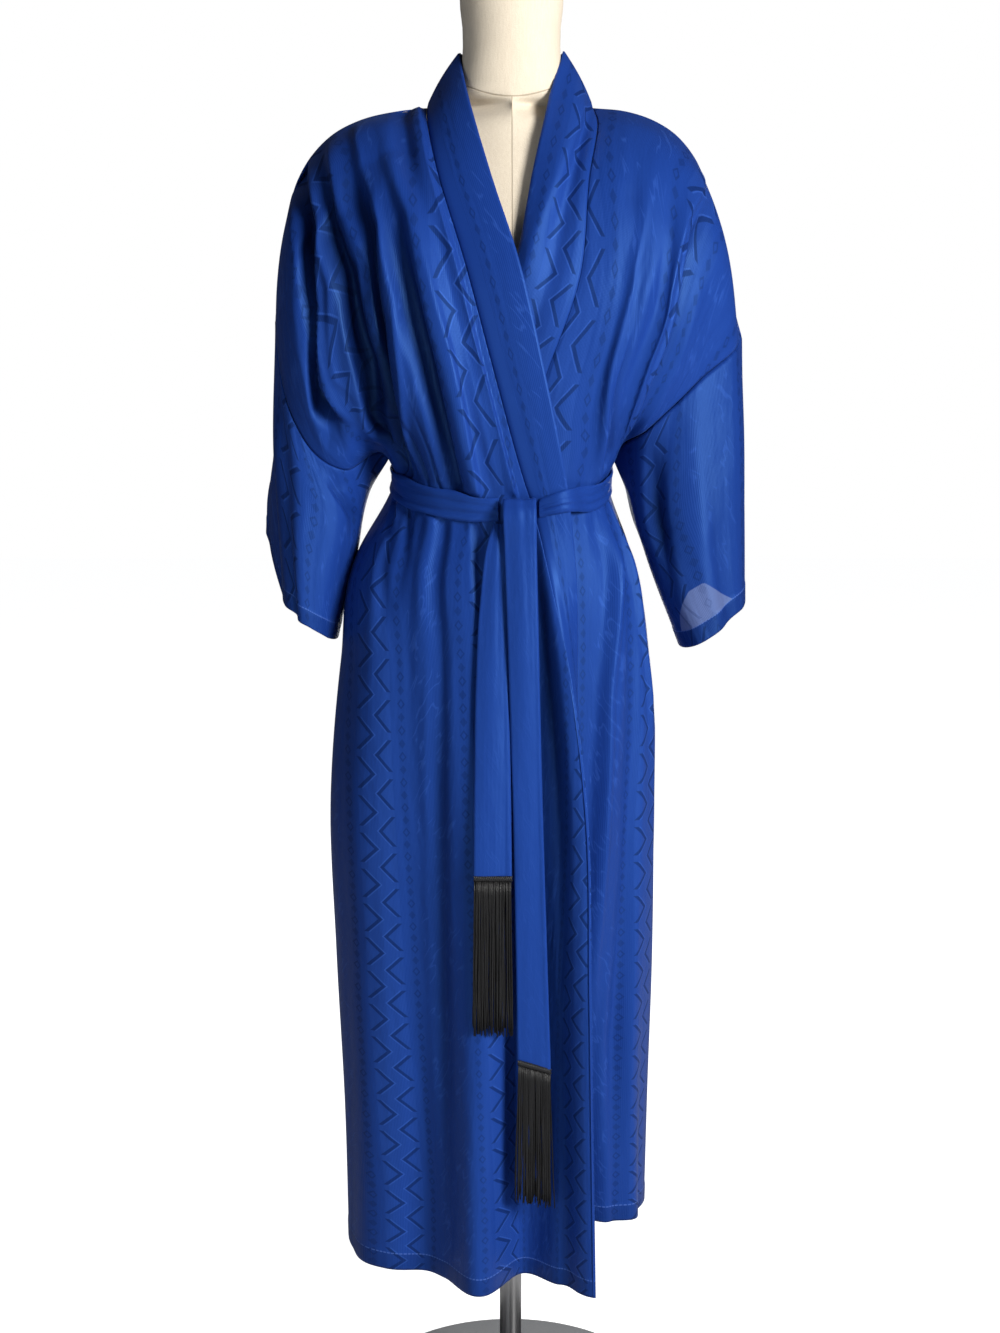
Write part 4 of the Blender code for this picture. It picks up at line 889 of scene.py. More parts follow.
def band_object(name: str, outer: np.ndarray, inner: np.ndarray, cloth: np.ndarray, material: Material) -> Object:
    """A doubled band of cloth: two sides joined round both edges by folds, with closed ends.

    Args:
        name: the piece's name.
        outer: points of its outer side, lines by points across.
        inner: points of its inner side.
        cloth: pattern coordinates of the same grid.
        material: its material.

    Returns:
        The object.
    """
    last, first = rounded_edge(outer, inner, -1, -2), rounded_edge(outer, inner, 0, 1)
    ring = np.concatenate([outer, last, inner[:, ::-1], first, outer[:, :1]], axis=1)
    flat = np.concatenate([cloth, cloth[:, -1:], cloth[:, ::-1], cloth[:, :1], cloth[:, :1]], axis=1)
    mesh = grid_mesh(ring, flat, {})
    bmesh.ops.remove_doubles(mesh, verts=mesh.verts[:], dist=1e-6)
    bmesh.ops.holes_fill(mesh, edges=[edge for edge in mesh.edges if edge.is_boundary], sides=0)
    bmesh.ops.recalc_face_normals(mesh, faces=mesh.faces[:])
    thing = add_mesh(name, mesh, material)
    thing.data.set_sharp_from_angle(angle=math.radians(70))
    return thing


def ring_edges(verts: Iterable[BMVert]) -> list[BMEdge]:
    """The edges at some points, each once and in order."""
    return list(dict.fromkeys(edge for vert in verts for edge in vert.link_edges))


def grow_ring(mesh: BMesh, edges: Sequence[BMEdge]) -> tuple[list[BMVert], list[BMEdge]]:
    """Extrude a ring of edges in place, and give the new ring's points and edges."""
    grown = bmesh.ops.extrude_edge_only(mesh, edges=edges)["geom"]
    verts = [part for part in grown if isinstance(part, BMVert)]
    ours = set(verts)
    return verts, [part for part in grown if isinstance(part, BMEdge) and ours.issuperset(part.verts)]


class Field:
    """A value that changes over a surface: the output of a shader node, with arithmetic on it."""

    def __init__(self, tree: NodeTree, socket: NodeSocket) -> None:
        """Hold the node tree and the output socket."""
        self.tree = tree
        self.socket = socket

    def math(self, operation: str, *others: Field | float, clamp: bool = False) -> Field:
        """A Math node on this value and others.

        Args:
            operation: the Math node's operation.
            others: its further inputs.
            clamp: whether its result is kept from 0 to 1.

        Returns:
            Its output.
        """
        node = self.tree.nodes.new("ShaderNodeMath")
        node.operation = operation
        node.use_clamp = clamp
        for slot, value in zip(node.inputs, (self, *others)):
            feed(self.tree, slot, value)
        return Field(self.tree, node.outputs[0])

    def __add__(self, other: Field | float) -> Field:
        """Sum."""
        return self.math("ADD", other)

    def __sub__(self, other: Field | float) -> Field:
        """Difference."""
        return self.math("SUBTRACT", other)

    def __mul__(self, other: Field | float) -> Field:
        """Product."""
        return self.math("MULTIPLY", other)

    def __neg__(self) -> Field:
        """Opposite."""
        return self.math("MULTIPLY", -1.0)

    def __abs__(self) -> Field:
        """Size without sign."""
        return self.math("ABSOLUTE")

    def repeat(self, period: float, shift: float = 0.0) -> Field:
        """Distance from the nearest of evenly spaced lines: from minus half a period to half of one."""
        return ((self * (1 / period) + (0.5 - shift)).math("FRACT") - 0.5) * period

    def inside(self, edge: float | Field, soft: float) -> Field:
        """1 where the value is below the edge and 0 above it, over a soft width."""
        return ((self - edge) * (-1 / soft) + 0.5).math("ADD", 0.0, clamp=True)

    def most(self, other: Field | float) -> Field:
        """The larger of two."""
        return self.math("MAXIMUM", other)

    def least(self, other: Field | float) -> Field:
        """The smaller of two."""
        return self.math("MINIMUM", other)


def feed(tree: NodeTree, slot: NodeSocket, value: object) -> None:
    """Give a node's input a field, another node's output, or a plain value."""
    value = value.socket if isinstance(value, Field) else value
    if isinstance(value, NodeSocket):
        tree.links.new(value, slot)
    else:
        slot.default_value = value


def new_group(name: str, takes: dict[str, str], gives: Sequence[str]) -> NodeTree:
    """A shader node group with named sockets.

    Args:
        name: its name.
        takes: the type of each input.
        gives: its outputs, which are all plain values.

    Returns:
        The group, with its input and output nodes.
    """
    tree = bpy.data.node_groups.new(name, "ShaderNodeTree")
    for label, kind in takes.items():
        tree.interface.new_socket(name=label, in_out="INPUT", socket_type=kind)
    for label in gives:
        tree.interface.new_socket(name=label, in_out="OUTPUT", socket_type="NodeSocketFloat")
    tree.nodes.new("NodeGroupInput")
    tree.nodes.new("NodeGroupOutput")
    return tree


def taken(tree: NodeTree, label: str) -> Field:
    """One of a group's inputs."""
    return Field(tree, next(node for node in tree.nodes if node.type == "GROUP_INPUT").outputs[label])


def give(tree: NodeTree, results: dict[str, Field]) -> None:
    """Send fields out of a group."""
    out = next(node for node in tree.nodes if node.type == "GROUP_OUTPUT")
    for label, value in results.items():
        feed(tree, out.inputs[label], value)


def axes(tree: NodeTree, vector: NodeSocket) -> tuple[Field, ...]:
    """The three parts of a vector."""
    node = tree.nodes.new("ShaderNodeSeparateXYZ")
    feed(tree, node.inputs[0], vector)
    return tuple(Field(tree, part) for part in node.outputs)


def noise(tree: NodeTree, vector: NodeSocket, stretch: object, detail: object) -> Field:
    """Noise over a vector.

    Args:
        tree: where the nodes go.
        vector: the coordinates.
        stretch: how much each axis is scaled first, which sets how fine the noise is.
        detail: how many finer layers it has.

    Returns:
        The noise, from 0 to 1.
    """
    mapping = tree.nodes.new("ShaderNodeMapping")
    feed(tree, mapping.inputs["Scale"], stretch)
    feed(tree, mapping.inputs["Vector"], vector)
    node = tree.nodes.new("ShaderNodeTexNoise")
    node.inputs["Scale"].default_value = 1.0
    feed(tree, node.inputs["Detail"], detail)
    feed(tree, node.inputs["Vector"], mapping.outputs[0])
    return Field(tree, node.outputs[0])


def colour_mix(tree: NodeTree, share: Field, one: object, two: object) -> NodeSocket:
    """Mix two colours, each a socket or three numbers, by a share."""
    node = tree.nodes.new("ShaderNodeMix")
    node.data_type = "RGBA"
    feed(tree, node.inputs[0], share)
    for slot, colour in ((6, one), (7, two)):
        feed(tree, node.inputs[slot], colour if isinstance(colour, NodeSocket) else (*colour, 1.0))
    return node.outputs[2]


@dataclass(frozen=True)
class Weave:
    """The woven pattern's sizes on the flat cloth, and where its zigzag and diamonds lie across it."""

    repeat: float = 0.12
    zigzag_at: float = 0.066
    zigzag_pitch: float = 0.042
    zigzag_apart: float = 0.0022
    zigzag_slope: float = 0.8
    arm: float = 0.017
    stroke: float = 0.002
    rim_at: float = 0.0031
    rim: float = 0.0006
    ground_half: float = 0.017
    diamond_at: float = 0.028
    diamond_pitch: float = 0.028
    open_diamond: tuple[float, float] = (0.0038, 0.0058)
    solid_diamond: tuple[float, float] = (0.0034, 0.0052)
    stripe_half: float = 0.0036
    brushed_from: float = 0.0385
    brush_slant: float = 24.0
    rib: float = 0.0013
    weft: float = 0.0009

    def zigzags(self, cell: Field, v: Field) -> tuple[Field, Field]:
        """Two columns of strokes that lean towards each other, and their light rims."""
        found = []
        for sign, shift in ((1, 0.0), (-1, 0.5)):
            tall = abs(v.repeat(self.zigzag_pitch, shift))
            line = cell * sign + self.zigzag_apart + tall * self.zigzag_slope
            within = tall.inside(self.arm, 0.0008)
            rim = abs(line - self.rim_at).inside(self.rim, 0.0004) * within
            found.append((abs(line).inside(self.stroke, 0.0005) * within, rim))
        return found[0][0].most(found[1][0]), found[0][1].most(found[1][1])

    def diamonds(self, cell: Field, v: Field) -> Field:
        """Columns of open diamonds with solid ones between them, on a faint stripe."""
        beside = abs(abs(cell) - self.diamond_at)
        sizes = []
        for (wide, high), shift in ((self.open_diamond, 0.0), (self.solid_diamond, 0.5)):
            sizes.append(beside * (1 / wide) + abs(v.repeat(self.diamond_pitch, shift)) * (1 / high))
        outline = abs(sizes[0] - 0.78).inside(0.22, 0.1)
        stripe = beside.inside(self.stripe_half, 0.0014)
        return (outline * 0.72).most(sizes[1].inside(1.0, 0.12) * 0.6).most(stripe * 0.12)

    def group(self) -> NodeTree:
        """The pattern as a node group.

        Returns:
            A group that takes the cloth coordinates and gives masks for the dark motifs, their
            light edges, the zigzag's ground and the brushed strokes, and the height of the weave.
        """
        tree = new_group("jacquard", {"Cloth": "NodeSocketVector"}, ("Motif", "Edge", "Brush", "Band", "Height"))
        cloth = taken(tree, "Cloth").socket
        u, v, _ = axes(tree, cloth)
        cell = (u - self.zigzag_at).repeat(self.repeat)
        stroke, edge = self.zigzags(cell, v)
        motif = stroke.most(self.diamonds(cell, v))
        slant = tree.nodes.new("ShaderNodeMapping")
        slant.inputs["Rotation"].default_value = (0.0, 0.0, math.radians(self.brush_slant))
        feed(tree, slant.inputs["Vector"], cloth)
        strokes = noise(tree, slant.outputs[0], (130, 24, 1), 1.0)
        apart = noise(tree, cloth, (60, 40, 1), 0.0)
        lines = abs(strokes - 0.5).inside(0.02, 0.03) * (-apart).inside(-0.52, 0.05)
        brush = lines * (abs(cell) * -1.0).inside(-self.brushed_from, 0.004)
        ribs = (u * (2 * math.pi / self.rib)).math("SINE")
        weft = (v * (2 * math.pi / self.weft)).math("SINE")
        give(tree, {
            "Motif": motif, "Edge": edge, "Brush": brush, "Band": abs(cell).inside(self.ground_half, 0.001),
            "Height": ribs * 0.6 + weft * 0.3 + motif * 0.7 + brush * 0.9,
        })
        return tree


WEAVE = Weave()


def wrinkle_group() -> NodeTree:
    """Fine, long wrinkles that hang down the cloth, as a height from 0 to 1."""
    tree = new_group("hanging_wrinkles", {"Cloth": "NodeSocketVector"}, ("Height",))
    cloth = taken(tree, "Cloth").socket
    give(tree, {"Height": noise(tree, cloth, (38, 5, 1), 2.0) * 0.8 + noise(tree, cloth, (120, 34, 1), 2.0) * 0.2})
    return tree


def grain_group() -> NodeTree:
    """Fine grain over a place, stretched along its axes: threads, fibres or brush marks."""
    takes = {"Place": "NodeSocketVector", "Stretch": "NodeSocketVector", "Detail": "NodeSocketFloat"}
    tree = new_group("fine_grain", takes, ("Grain",))
    place, stretch, detail = (taken(tree, label).socket for label in takes)
    give(tree, {"Grain": noise(tree, place, stretch, detail)})
    return tree


class Surface:
    """A material in the making: its node tree and its Principled shader."""

    def __init__(self, name: str, plain_inputs: dict[str, float | tuple[float, ...]]) -> None:
        """Start the material, with the inputs that are the same all over."""
        self.material = bpy.data.materials.new(name)
        self.material.use_nodes = True
        self.tree = self.material.node_tree
        self.shader = self.tree.nodes["Principled BSDF"]
        for label, value in plain_inputs.items():
            self.drive(label, value)

    def drive(self, label: str, value: object) -> None:
        """Feed one of the shader's inputs."""
        feed(self.tree, self.shader.inputs[label], value)

    def spot(self) -> NodeSocket:
        """Object coordinates."""
        return self.tree.nodes.new("ShaderNodeTexCoord").outputs["Object"]

    def mark(self, name: str) -> Field:
        """A value that the mesh holds for each of its points."""
        node = self.tree.nodes.new("ShaderNodeAttribute")
        node.attribute_name = name
        return Field(self.tree, node.outputs["Fac"])

    def place(self, group: NodeTree, *values: object) -> dict[str, Field]:
        """Put a shared group in with values for its inputs, and give its outputs by name."""
        node = self.tree.nodes.new("ShaderNodeGroup")
        node.node_tree = group
        for slot, value in zip(node.inputs, values):
            feed(self.tree, slot, value)
        return {out.name: Field(self.tree, out) for out in node.outputs}

    def bump(self, height: Field, strength: float, distance: float, over: object = None) -> NodeSocket:
        """A Bump node's normal, on top of another one where it is given."""
        node = self.tree.nodes.new("ShaderNodeBump")
        node.inputs["Strength"].default_value = strength
        node.inputs["Distance"].default_value = distance
        feed(self.tree, node.inputs["Height"], height)
        if over is not None:
            feed(self.tree, node.inputs["Normal"], over)
        return node.outputs[0]


class Wardrobe:
    """Builds the finishes and keeps the shared node groups."""

    def __init__(self) -> None:
        """Build the groups that several materials use."""
        self.jacquard = WEAVE.group()
        self.wrinkles = wrinkle_group()
        self.fine = grain_group()

    def grain(self, skin: Surface, spot: NodeSocket, stretch: Sequence[float], detail: float) -> Field:
        """Fine grain in a material."""
        return skin.place(self.fine, spot, stretch, detail)["Grain"]

    def cloth(self, finish: ClothFinish) -> Material:
        """The robe's satin jacquard, with its hem stitches, painted shade in fold valleys and painted light through
        the cuff's single layer.

        Args:
            finish: its colours and shine.

        Returns:
            The material.
        """
        skin = Surface(finish.name, {
            "Sheen Weight": 0.06, "Sheen Roughness": 0.3, "Sheen Tint": (0.25, 0.42, 1.0, 1.0),
            "Specular IOR Level": 0.32, "Specular Tint": (0.16, 0.42, 1.0, 1.0),
        })
        tree = skin.tree
        uv = tree.nodes.new("ShaderNodeUVMap")
        uv.uv_map = CLOTH_MAP
        flat = uv.outputs[0]
        pattern = skin.place(self.jacquard, flat)
        motif, edge, band = pattern["Motif"], pattern["Edge"], pattern["Band"]
        cloudy = noise(tree, flat, (14, 3, 1), 3.0) - 0.5
        light = edge * finish.edge_share + pattern["Brush"] * finish.brush + band * finish.band_share
        light = light.math("ADD", cloudy * finish.cloudy_share, clamp=True)
        colour = colour_mix(tree, light, finish.ground, finish.thread)
        colour = colour_mix(tree, motif * finish.motif_share, colour, finish.motif)
        # painted shade: darker in fold valleys and over the whole left sleeve, by the mesh's deep mark
        colour = colour_mix(tree, skin.mark("deep") * finish.painted_shade_share, colour, finish.depth)
        from_hem = skin.mark("hem")
        dash = abs(axes(tree, flat)[0].repeat(finish.stitch_pitch)).inside(finish.stitch_half_length, 0.0005)
        stitched = abs(from_hem - finish.stitch_line).inside(finish.stitch_half_width, 0.0004) * dash
        turned = from_hem.inside(finish.hem_width, 0.0008) * (-from_hem).inside(-0.00001, 0.00001)
        colour = colour_mix(tree, turned * finish.turned_share, colour, finish.motif)
        colour = colour_mix(tree, stitched * finish.stitch_share, colour, finish.stitch)
        # painted light: a paler patch above the cuff's stitches, where light from behind shows through one layer
        above = (-from_hem).inside(-finish.stitch_line - 0.0001, 0.0004)
        clear = (-skin.mark("painted_backlight")).inside(-0.5, 0.03) * above
        pale = colour_mix(tree, motif * 0.5, finish.painted_backlight, finish.painted_backlight_motif)
        skin.drive("Base Color", colour_mix(tree, clear * finish.painted_backlight_share, colour, pale))
        skin.drive("Roughness", motif * finish.motif_roughness + finish.roughness)
        crease = skin.bump(skin.place(self.wrinkles, flat)["Height"], *finish.crease_bump)
        skin.drive("Normal", skin.bump(pattern["Height"], *finish.weave_bump, crease))
        return skin.material

    def linen(self, finish: LinenFinish) -> Material:
        """Linen over the dress form, with its plain weave, its neck seam and its centre front seam.

        Args:
            finish: its colours and shine.

        Returns:
            The material.
        """
        skin = Surface(finish.name, {"Roughness": finish.roughness, "Sheen Weight": finish.sheen})
        tree, spot = skin.tree, skin.spot()
        weave = self.grain(skin, spot, (900, 900, 900), 2.0)
        slub = self.grain(skin, spot, (500, 500, 60), 2.0)
        stain = self.grain(skin, spot, (6, 6, 6), 3.0)
        share = (weave * 0.45 + slub * 0.35 + stain * 0.3).math("SUBTRACT", 0.05, clamp=True)
        colour = colour_mix(tree, share, finish.dark, finish.light)
        x, y, z = axes(tree, spot)
        level = (x * x * 400.0).least(1.0) * 0.014 + (-y).inside(0.0, 0.004) * 0.012 + finish.seam_level
        neck = abs(z - level).inside(0.0007, 0.0006) * abs(x).inside(0.07, 0.01)
        centre = abs(x).inside(finish.seam_half, 0.0006) * (z - level).inside(0.0, 0.001) * y.inside(0.0, 0.002)
        seam = neck.most(centre)
        skin.drive("Base Color", colour_mix(tree, seam * finish.seam_share, colour, finish.seam))
        skin.drive("Normal", skin.bump(weave + slub * 0.6 - seam * 1.5, *finish.bump))
        return skin.material

    def yarn(self, finish: YarnFinish) -> Material:
        """Yarn of the fringes, in a shade of its own for each strand, with painted shade on the layers of strands
        behind.
        """
        skin = Surface(finish.name, {"Roughness": finish.roughness, "Specular IOR Level": finish.specular})
        twist = self.grain(skin, skin.spot(), (1500, 1500, 500), 2.0)
        # painted shade: the mark holds each strand's own tone times its layer's painted shade, and the heading's
        # lighter tone
        shade = skin.mark("tone_and_painted_shade") * (1 - finish.twist_share) + twist * finish.twist_share
        skin.drive("Base Color", colour_mix(skin.tree, shade.least(finish.lightest), finish.dark, finish.light))
        skin.drive("Normal", skin.bump(twist, *finish.bump))
        return skin.material

    def metal(self, finish: MetalFinish) -> Material:
        """A metal surface with brushed or sprayed grain."""
        skin = Surface(finish.name, {"Metallic": finish.metallic})
        grain = self.grain(skin, skin.spot(), finish.stretch, 3.0)
        skin.drive("Base Color", colour_mix(skin.tree, grain, finish.dark, finish.light))
        skin.drive("Roughness", grain * finish.grain_roughness + (finish.roughness - finish.grain_roughness / 2))
        skin.drive("Normal", skin.bump(grain, *finish.bump))
        return skin.material


@dataclass
class Collar:
    """One half of the collar band, from the centre back round the neck and down to the hem."""

    side: Side
    width: float = 0.065
    thick: float = 0.0026
    crown: float = 0.0022
    seam_dip: float = 0.0011
    pattern_pace: float = 0.75

    def drape(self, front: Drape, table: Sequence[FrontSection]) -> Drape:
        """Its outer side: column 0 on the seam and the last on the free edge."""
        sign = self.side.value
        neck = np.arange(0, NECK_COLUMNS - 1e-9, 1 / 8)
        line = SHOULDER_RIGHT if self.side is Side.RIGHT else SHOULDER_LEFT
        seam_curve = [(sign * x, y, z) for x, y, z in BACK_NECK_SEAM] + shoulder_curve(line, sign)[:1]
        edge_curve = [(sign * x, y, z) for x, y, z in BACK_NECK_EDGE]
        free = loft(np.array([[row.free] for row in table]), SECTION_ROWS, FRONT_ROWS)[:, 0]
        seam = np.concatenate([along_curve(seam_curve, neck / NECK_COLUMNS), front.points[:, 0]])
        edge = np.concatenate([along_curve(edge_curve, neck / NECK_COLUMNS), free])
        across = np.linspace(0, 1, 25)
        points = seam[:, None] + (edge - seam)[:, None] * across[None, :, None]
        rows = np.concatenate([neck, FRONT_ROWS + NECK_COLUMNS])
        return Drape(points, rows, across, sign)

    def shape(self, drape: Drape) -> None:
        """Give the band its soft section: the roll and valley of the under one, the crown of the top one."""
        across, rows = drape.columns[None, :], drape.rows[:, None]
        crown = self.crown * np.sin(np.pi * across)
        if self.side is Side.LEFT:
            roll = np.interp(rows, (4.5, 6.3, 7.2, 8.5), (0.36, 0.48, 0.58, 0.82))
            deep = np.interp(rows, (3.0, 4.5, 6.0, 8.2, 9.5, 11.0), (0.0, 5.0, 10.5, 9.5, 5.0, 0.0)) / 1000
            crown = crown - deep * bell(across, roll * 0.55, 0.26 * roll)
            fall = np.interp(rows, (3.5, 5.0, 9.0, 11.0), (0.0, 10.0, 9.0, 0.0)) / 1000
            crown = crown - fall * np.clip((across - roll) / (1 - roll), 0, 1) ** 1.3
        else:
            crown = crown * np.interp(rows, (0, 3, 14, 16, 26), (1, 1, 1, 0.5, 0.5))
        drape.raise_by(crown - self.seam_dip * bell(across, 0, 0.05))

    def build(self, front: Drape, table: Sequence[FrontSection], material: Material) -> Object:
        """Build the band.

        Args:
            front: the front that it is sewn to.
            table: that front's sections.
            material: its material.

        Returns:
            The object.
        """
        drape = self.drape(front, table)
        self.shape(drape)
        down = lengths_along(drape.points[:, 0])
        if self.side is Side.RIGHT:
            at = WEAVE.diamond_at
            across = (0.0185, at - 0.0085, at + 0.0095, 0.052)
            u = WEAVE.zigzag_at + np.interp(drape.columns, (0, 0.3, 0.58, 1), across)
        else:
            u = drape.columns * self.width + WEAVE.zigzag_at - 0.022
        inner = drape.points - drape.normals() * self.thick
        name = "collar_right_band" if self.side is Side.RIGHT else "collar_left_band"
        return band_object(name, drape.points, inner, spread_out(u, down * self.pattern_pace), material)


def spread_out(u: np.ndarray, v: np.ndarray) -> np.ndarray:
    """Pattern coordinates of a grid, from those across it and those down it."""
    return np.stack(np.meshgrid(u, v), axis=2)


def bell(values: np.ndarray, middle: float | np.ndarray, half: float | np.ndarray) -> np.ndarray:
    """A soft bell: 1 at its middle, and little beyond its half width."""
    return np.exp(-(((values - middle) / half) ** 2))


def smoothed(values: np.ndarray, reach: int) -> np.ndarray:
    """Running mean along the first axis, over reach points on both sides."""
    padded = np.concatenate([np.repeat(values[:1], reach + 1, axis=0), values, np.repeat(values[-1:], reach, axis=0)])
    total = np.cumsum(padded, axis=0)
    return (total[2 * reach + 1:] - total[:-2 * reach - 1]) / (2 * reach + 1)


def line_at(drape: Drape, row: float) -> tuple[np.ndarray, np.ndarray]:
    """Points and normals of a surface along one row."""
    points, facing = (
        np.stack([[np.interp(row, drape.rows, line) for line in values[:, :, k].T] for k in range(3)], axis=1)
        for values in (drape.points, drape.normals())
    )
    return points, facing / np.linalg.norm(facing, axis=1)[:, None]


@dataclass(frozen=True)
class Crease:
    """A crease that wanders along a band: where it lies across it, how it sways, its depth and half width."""

    at: float
    sway: float
    waves: float
    start: float
    depth: float
    half: float

    def height(self, across: np.ndarray, along: np.ndarray) -> np.ndarray:
        """How far it draws the cloth in, as a height below 0."""
        return -self.depth * bell(across, self.at + self.sway * np.sin(self.waves * along + self.start), self.half)


@dataclass
class Sash:
    """The tied sash: its band round the waist, its knot and its two hanging tails."""

    half_height: float = 0.6
    lift: float = 0.0013
    wall: float = 0.002
    knot_left: float = -0.0085
    knot_right: float = 0.0245
    knot_top: float = 1.0455
    knot_low: float = 1.024
    knot_back: float = -0.1195
    knot_front: float = -0.1345
    tail_wall: float = 0.0018
    tail_clear: float = 0.0045
    tail_reach: float = 0.04
    tail_points: int = 17
    band_points: int = 321
    band_lines: int = 13
    smooth_reach: int = 7
    band_crown: float = 0.0018
    band_creases: tuple[Crease, ...] = (
        Crease(0.3, 0.25, 9, 0.6, 0.0019, 0.15), Crease(-0.42, 0.2, 13, 2.0, 0.0014, 0.13),
    )
    band_pattern_at: float = 0.112
    tail_pattern_at: float = 0.109
    short_rows: tuple[tuple[float, float, float, float], ...] = (
        (1.024, -0.019, -0.009, -0.1225), (1.008, -0.024, -0.0045, -0.13),
        (0.95, -0.032, -0.004, -0.135), (0.86, -0.037, -0.003, -0.14),
        (0.76, -0.0385, -0.001, -0.145), (0.662, -0.039, 0.0, -0.15),
    )
    long_rows: tuple[tuple[float, float, float, float], ...] = (
        (1.048, -0.008, 0.024, -0.1215), (1.05, -0.0085, 0.0245, -0.131),
        (1.043, -0.0088, 0.0248, -0.1375), (1.0, -0.0075, 0.0255, -0.141),
        (0.9, -0.004, 0.028, -0.146), (0.76, 0.0005, 0.0315, -0.15),
        (0.62, 0.004, 0.0355, -0.155), (0.458, 0.007, 0.041, -0.16),
    )

    def waist_path(self, drapes: dict[str, Drape], height: float) -> tuple[np.ndarray, np.ndarray]:
        """Points and normals that the band covers, from the knot's left round the waist to its right.

        Args:
            drapes: the robe's surfaces.
            height: rows below the waist row.

        Returns:
            Points and outward normals.
        """
        row = WAIST_ROW + height
        front, front_n = line_at(drapes["front_right"], row)
        back, back_n = line_at(drapes["back"], row)
        under, under_n = line_at(drapes["front_left"], row)
        band, band_n = line_at(drapes["collar_right"], row + NECK_COLUMNS)
        keep_front = (drapes["front_right"].columns > 4.0) & (drapes["front_right"].columns < 17.5)
        start = int(np.argmin(np.abs(front[:, 0] - (self.knot_left - 0.0004))))
        keep_under = (under[:, 0] > band[-1, 0] + 0.02) & (drapes["front_left"].columns < 17.5)
        parts = [
            (front[start:start + 1], front_n[start:start + 1]), (front[keep_front], front_n[keep_front]),
            (back[2:-2], back_n[2:-2]), (under[keep_under][::-1], under_n[keep_under][::-1]),
        ]
        last = band[:, 0] > self.knot_right + 0.006
        parts.append((band[last][::-1], band_n[last][::-1]))
        parts.append((band[:1] * [0, 1, 1] + [self.knot_right + 0.0004, 0, 0], band_n[:1]))
        return np.concatenate([part[0] for part in parts]), np.concatenate([part[1] for part in parts])

    def laid_line(self, drapes: dict[str, Drape], height: float) -> tuple[np.ndarray, np.ndarray]:
        """One even, calm line of the band's path, lifted over what it crosses, with its normals."""
        points, normals = self.waist_path(drapes, height)
        length = lengths_along(points)
        wanted = np.linspace(0, length[-1], self.band_points)
        even, face = (
            np.stack([np.interp(wanted, length, values[:, k]) for k in range(3)], axis=1)
            for values in (points, normals)
        )
        face = smoothed(face, self.smooth_reach)
        face /= np.linalg.norm(face, axis=1)[:, None]
        soft = smoothed(even, self.smooth_reach)
        sunk = np.clip(np.sum((even - soft) * face, axis=1), 0, None)
        near = self.smooth_reach - 1
        sunk = np.max([np.roll(sunk, k) for k in range(-near, near + 1)], axis=0)
        return soft + face * smoothed(sunk, 4)[:, None], face

    def build_band(self, drapes: dict[str, Drape], material: Material) -> Object:
        """The band: soft cloth with two creases that wander along it, gathered at the knot."""
        heights = np.linspace(-self.half_height, self.half_height, self.band_lines)
        points, normals = (np.stack(part, axis=1) for part in zip(*(self.laid_line(drapes, each) for each in heights)))
        along = np.linspace(0, 1, self.band_points)[:, None]
        gathered = np.interp(along[:, 0], (0.0, 0.05, 0.88, 0.97, 1.0), (0.84, 1.0, 1.0, 0.7, 0.62))
        for k in range(3):
            lines = zip(gathered, points[:, :, k])
            points[:, :, k] = [np.interp(heights * part, heights, line) for part, line in lines]
        share = np.linspace(-1, 1, self.band_lines)[None, :]
        soft = self.band_crown * (1 - share**2)
        for crease in self.band_creases:
            soft = soft + crease.height(share, along)
        outer = points + normals * (self.lift + self.wall + 0.0006 + soft)[:, :, None]
        inner = points + normals * (self.lift + soft * 0.2)[:, :, None]
        length = lengths_along(points[:, self.band_lines // 2])
        cloth = spread_out((share[0] + 1) * 0.0135 + self.band_pattern_at, length)
        return band_object("sash_band_wrap", outer, inner, cloth, material)

    def build_knot(self, material: Material) -> Object:
        """The knot: a soft pad with the creases of the turn that holds it."""
        mesh = bmesh.new()
        made = bmesh.ops.create_cube(mesh, size=1.0)
        low = Vector((self.knot_left, self.knot_front, self.knot_low))
        high = Vector((self.knot_right, self.knot_back, self.knot_top))
        middle = (low + high) / 2
        bmesh.ops.scale(mesh, vec=high - low, verts=made["verts"])
        bmesh.ops.translate(mesh, vec=middle, verts=made["verts"])
        round_edges(mesh, mesh.edges[:], 0.005, 3)
        bmesh.ops.subdivide_edges(mesh, edges=mesh.edges[:], cuts=3, use_grid_fill=True)
        uv = mesh.loops.layers.uv.new(CLOTH_MAP)
        for vert in mesh.verts:
            across = (vert.co.x - middle.x) / (high.x - low.x)
            dent = 0.0011 * math.sin(26 * across + 60 * (vert.co.z - middle.z))
            vert.co += (vert.co - middle).normalized() * (dent - 0.0012)
        for face in mesh.faces:
            for loop in face.loops:
                loop[uv].uv = (loop.vert.co.x + 0.1, loop.vert.co.z)
        return add_mesh("sash_knot_pad", mesh, material)

    def tail_lines(self, rows: Sequence[tuple[float, ...]], slant: float, drop: float, front: Drape) -> np.ndarray:
        """The tail's sections, clear of the front behind it.

        Args:
            rows: height, left and right side and depth of each.
            slant: how much lower the last one's right corner hangs.
            drop: how far the fringe reaches below the last one.
            front: the front that it hangs over.

        Returns:
            The points across it at each of its rows.
        """
        behind = front.points[front.rows >= WAIST_ROW + 1].reshape(-1, 3)
        across = np.linspace(0, 1, self.tail_points)
        crown = 0.0016 * np.sin(np.pi * across)
        sections = []
        for height, left, right, depth in rows:
            last = height == rows[-1][0]
            reach = self.tail_reach + (drop if last else 0.0)
            window = (behind[:, 0] > left - self.tail_clear) & (behind[:, 0] < right + self.tail_clear)
            window &= (behind[:, 2] > height - reach) & (behind[:, 2] < height + self.tail_reach)
            if window.any():
                depth = min(depth, behind[window, 1].min() - self.tail_clear)
            lower = slant * (across - 0.5) if last else across * 0
            sections.append(np.stack([left + (right - left) * across, depth - crown, height - lower], axis=1))
        return np.array(sections)

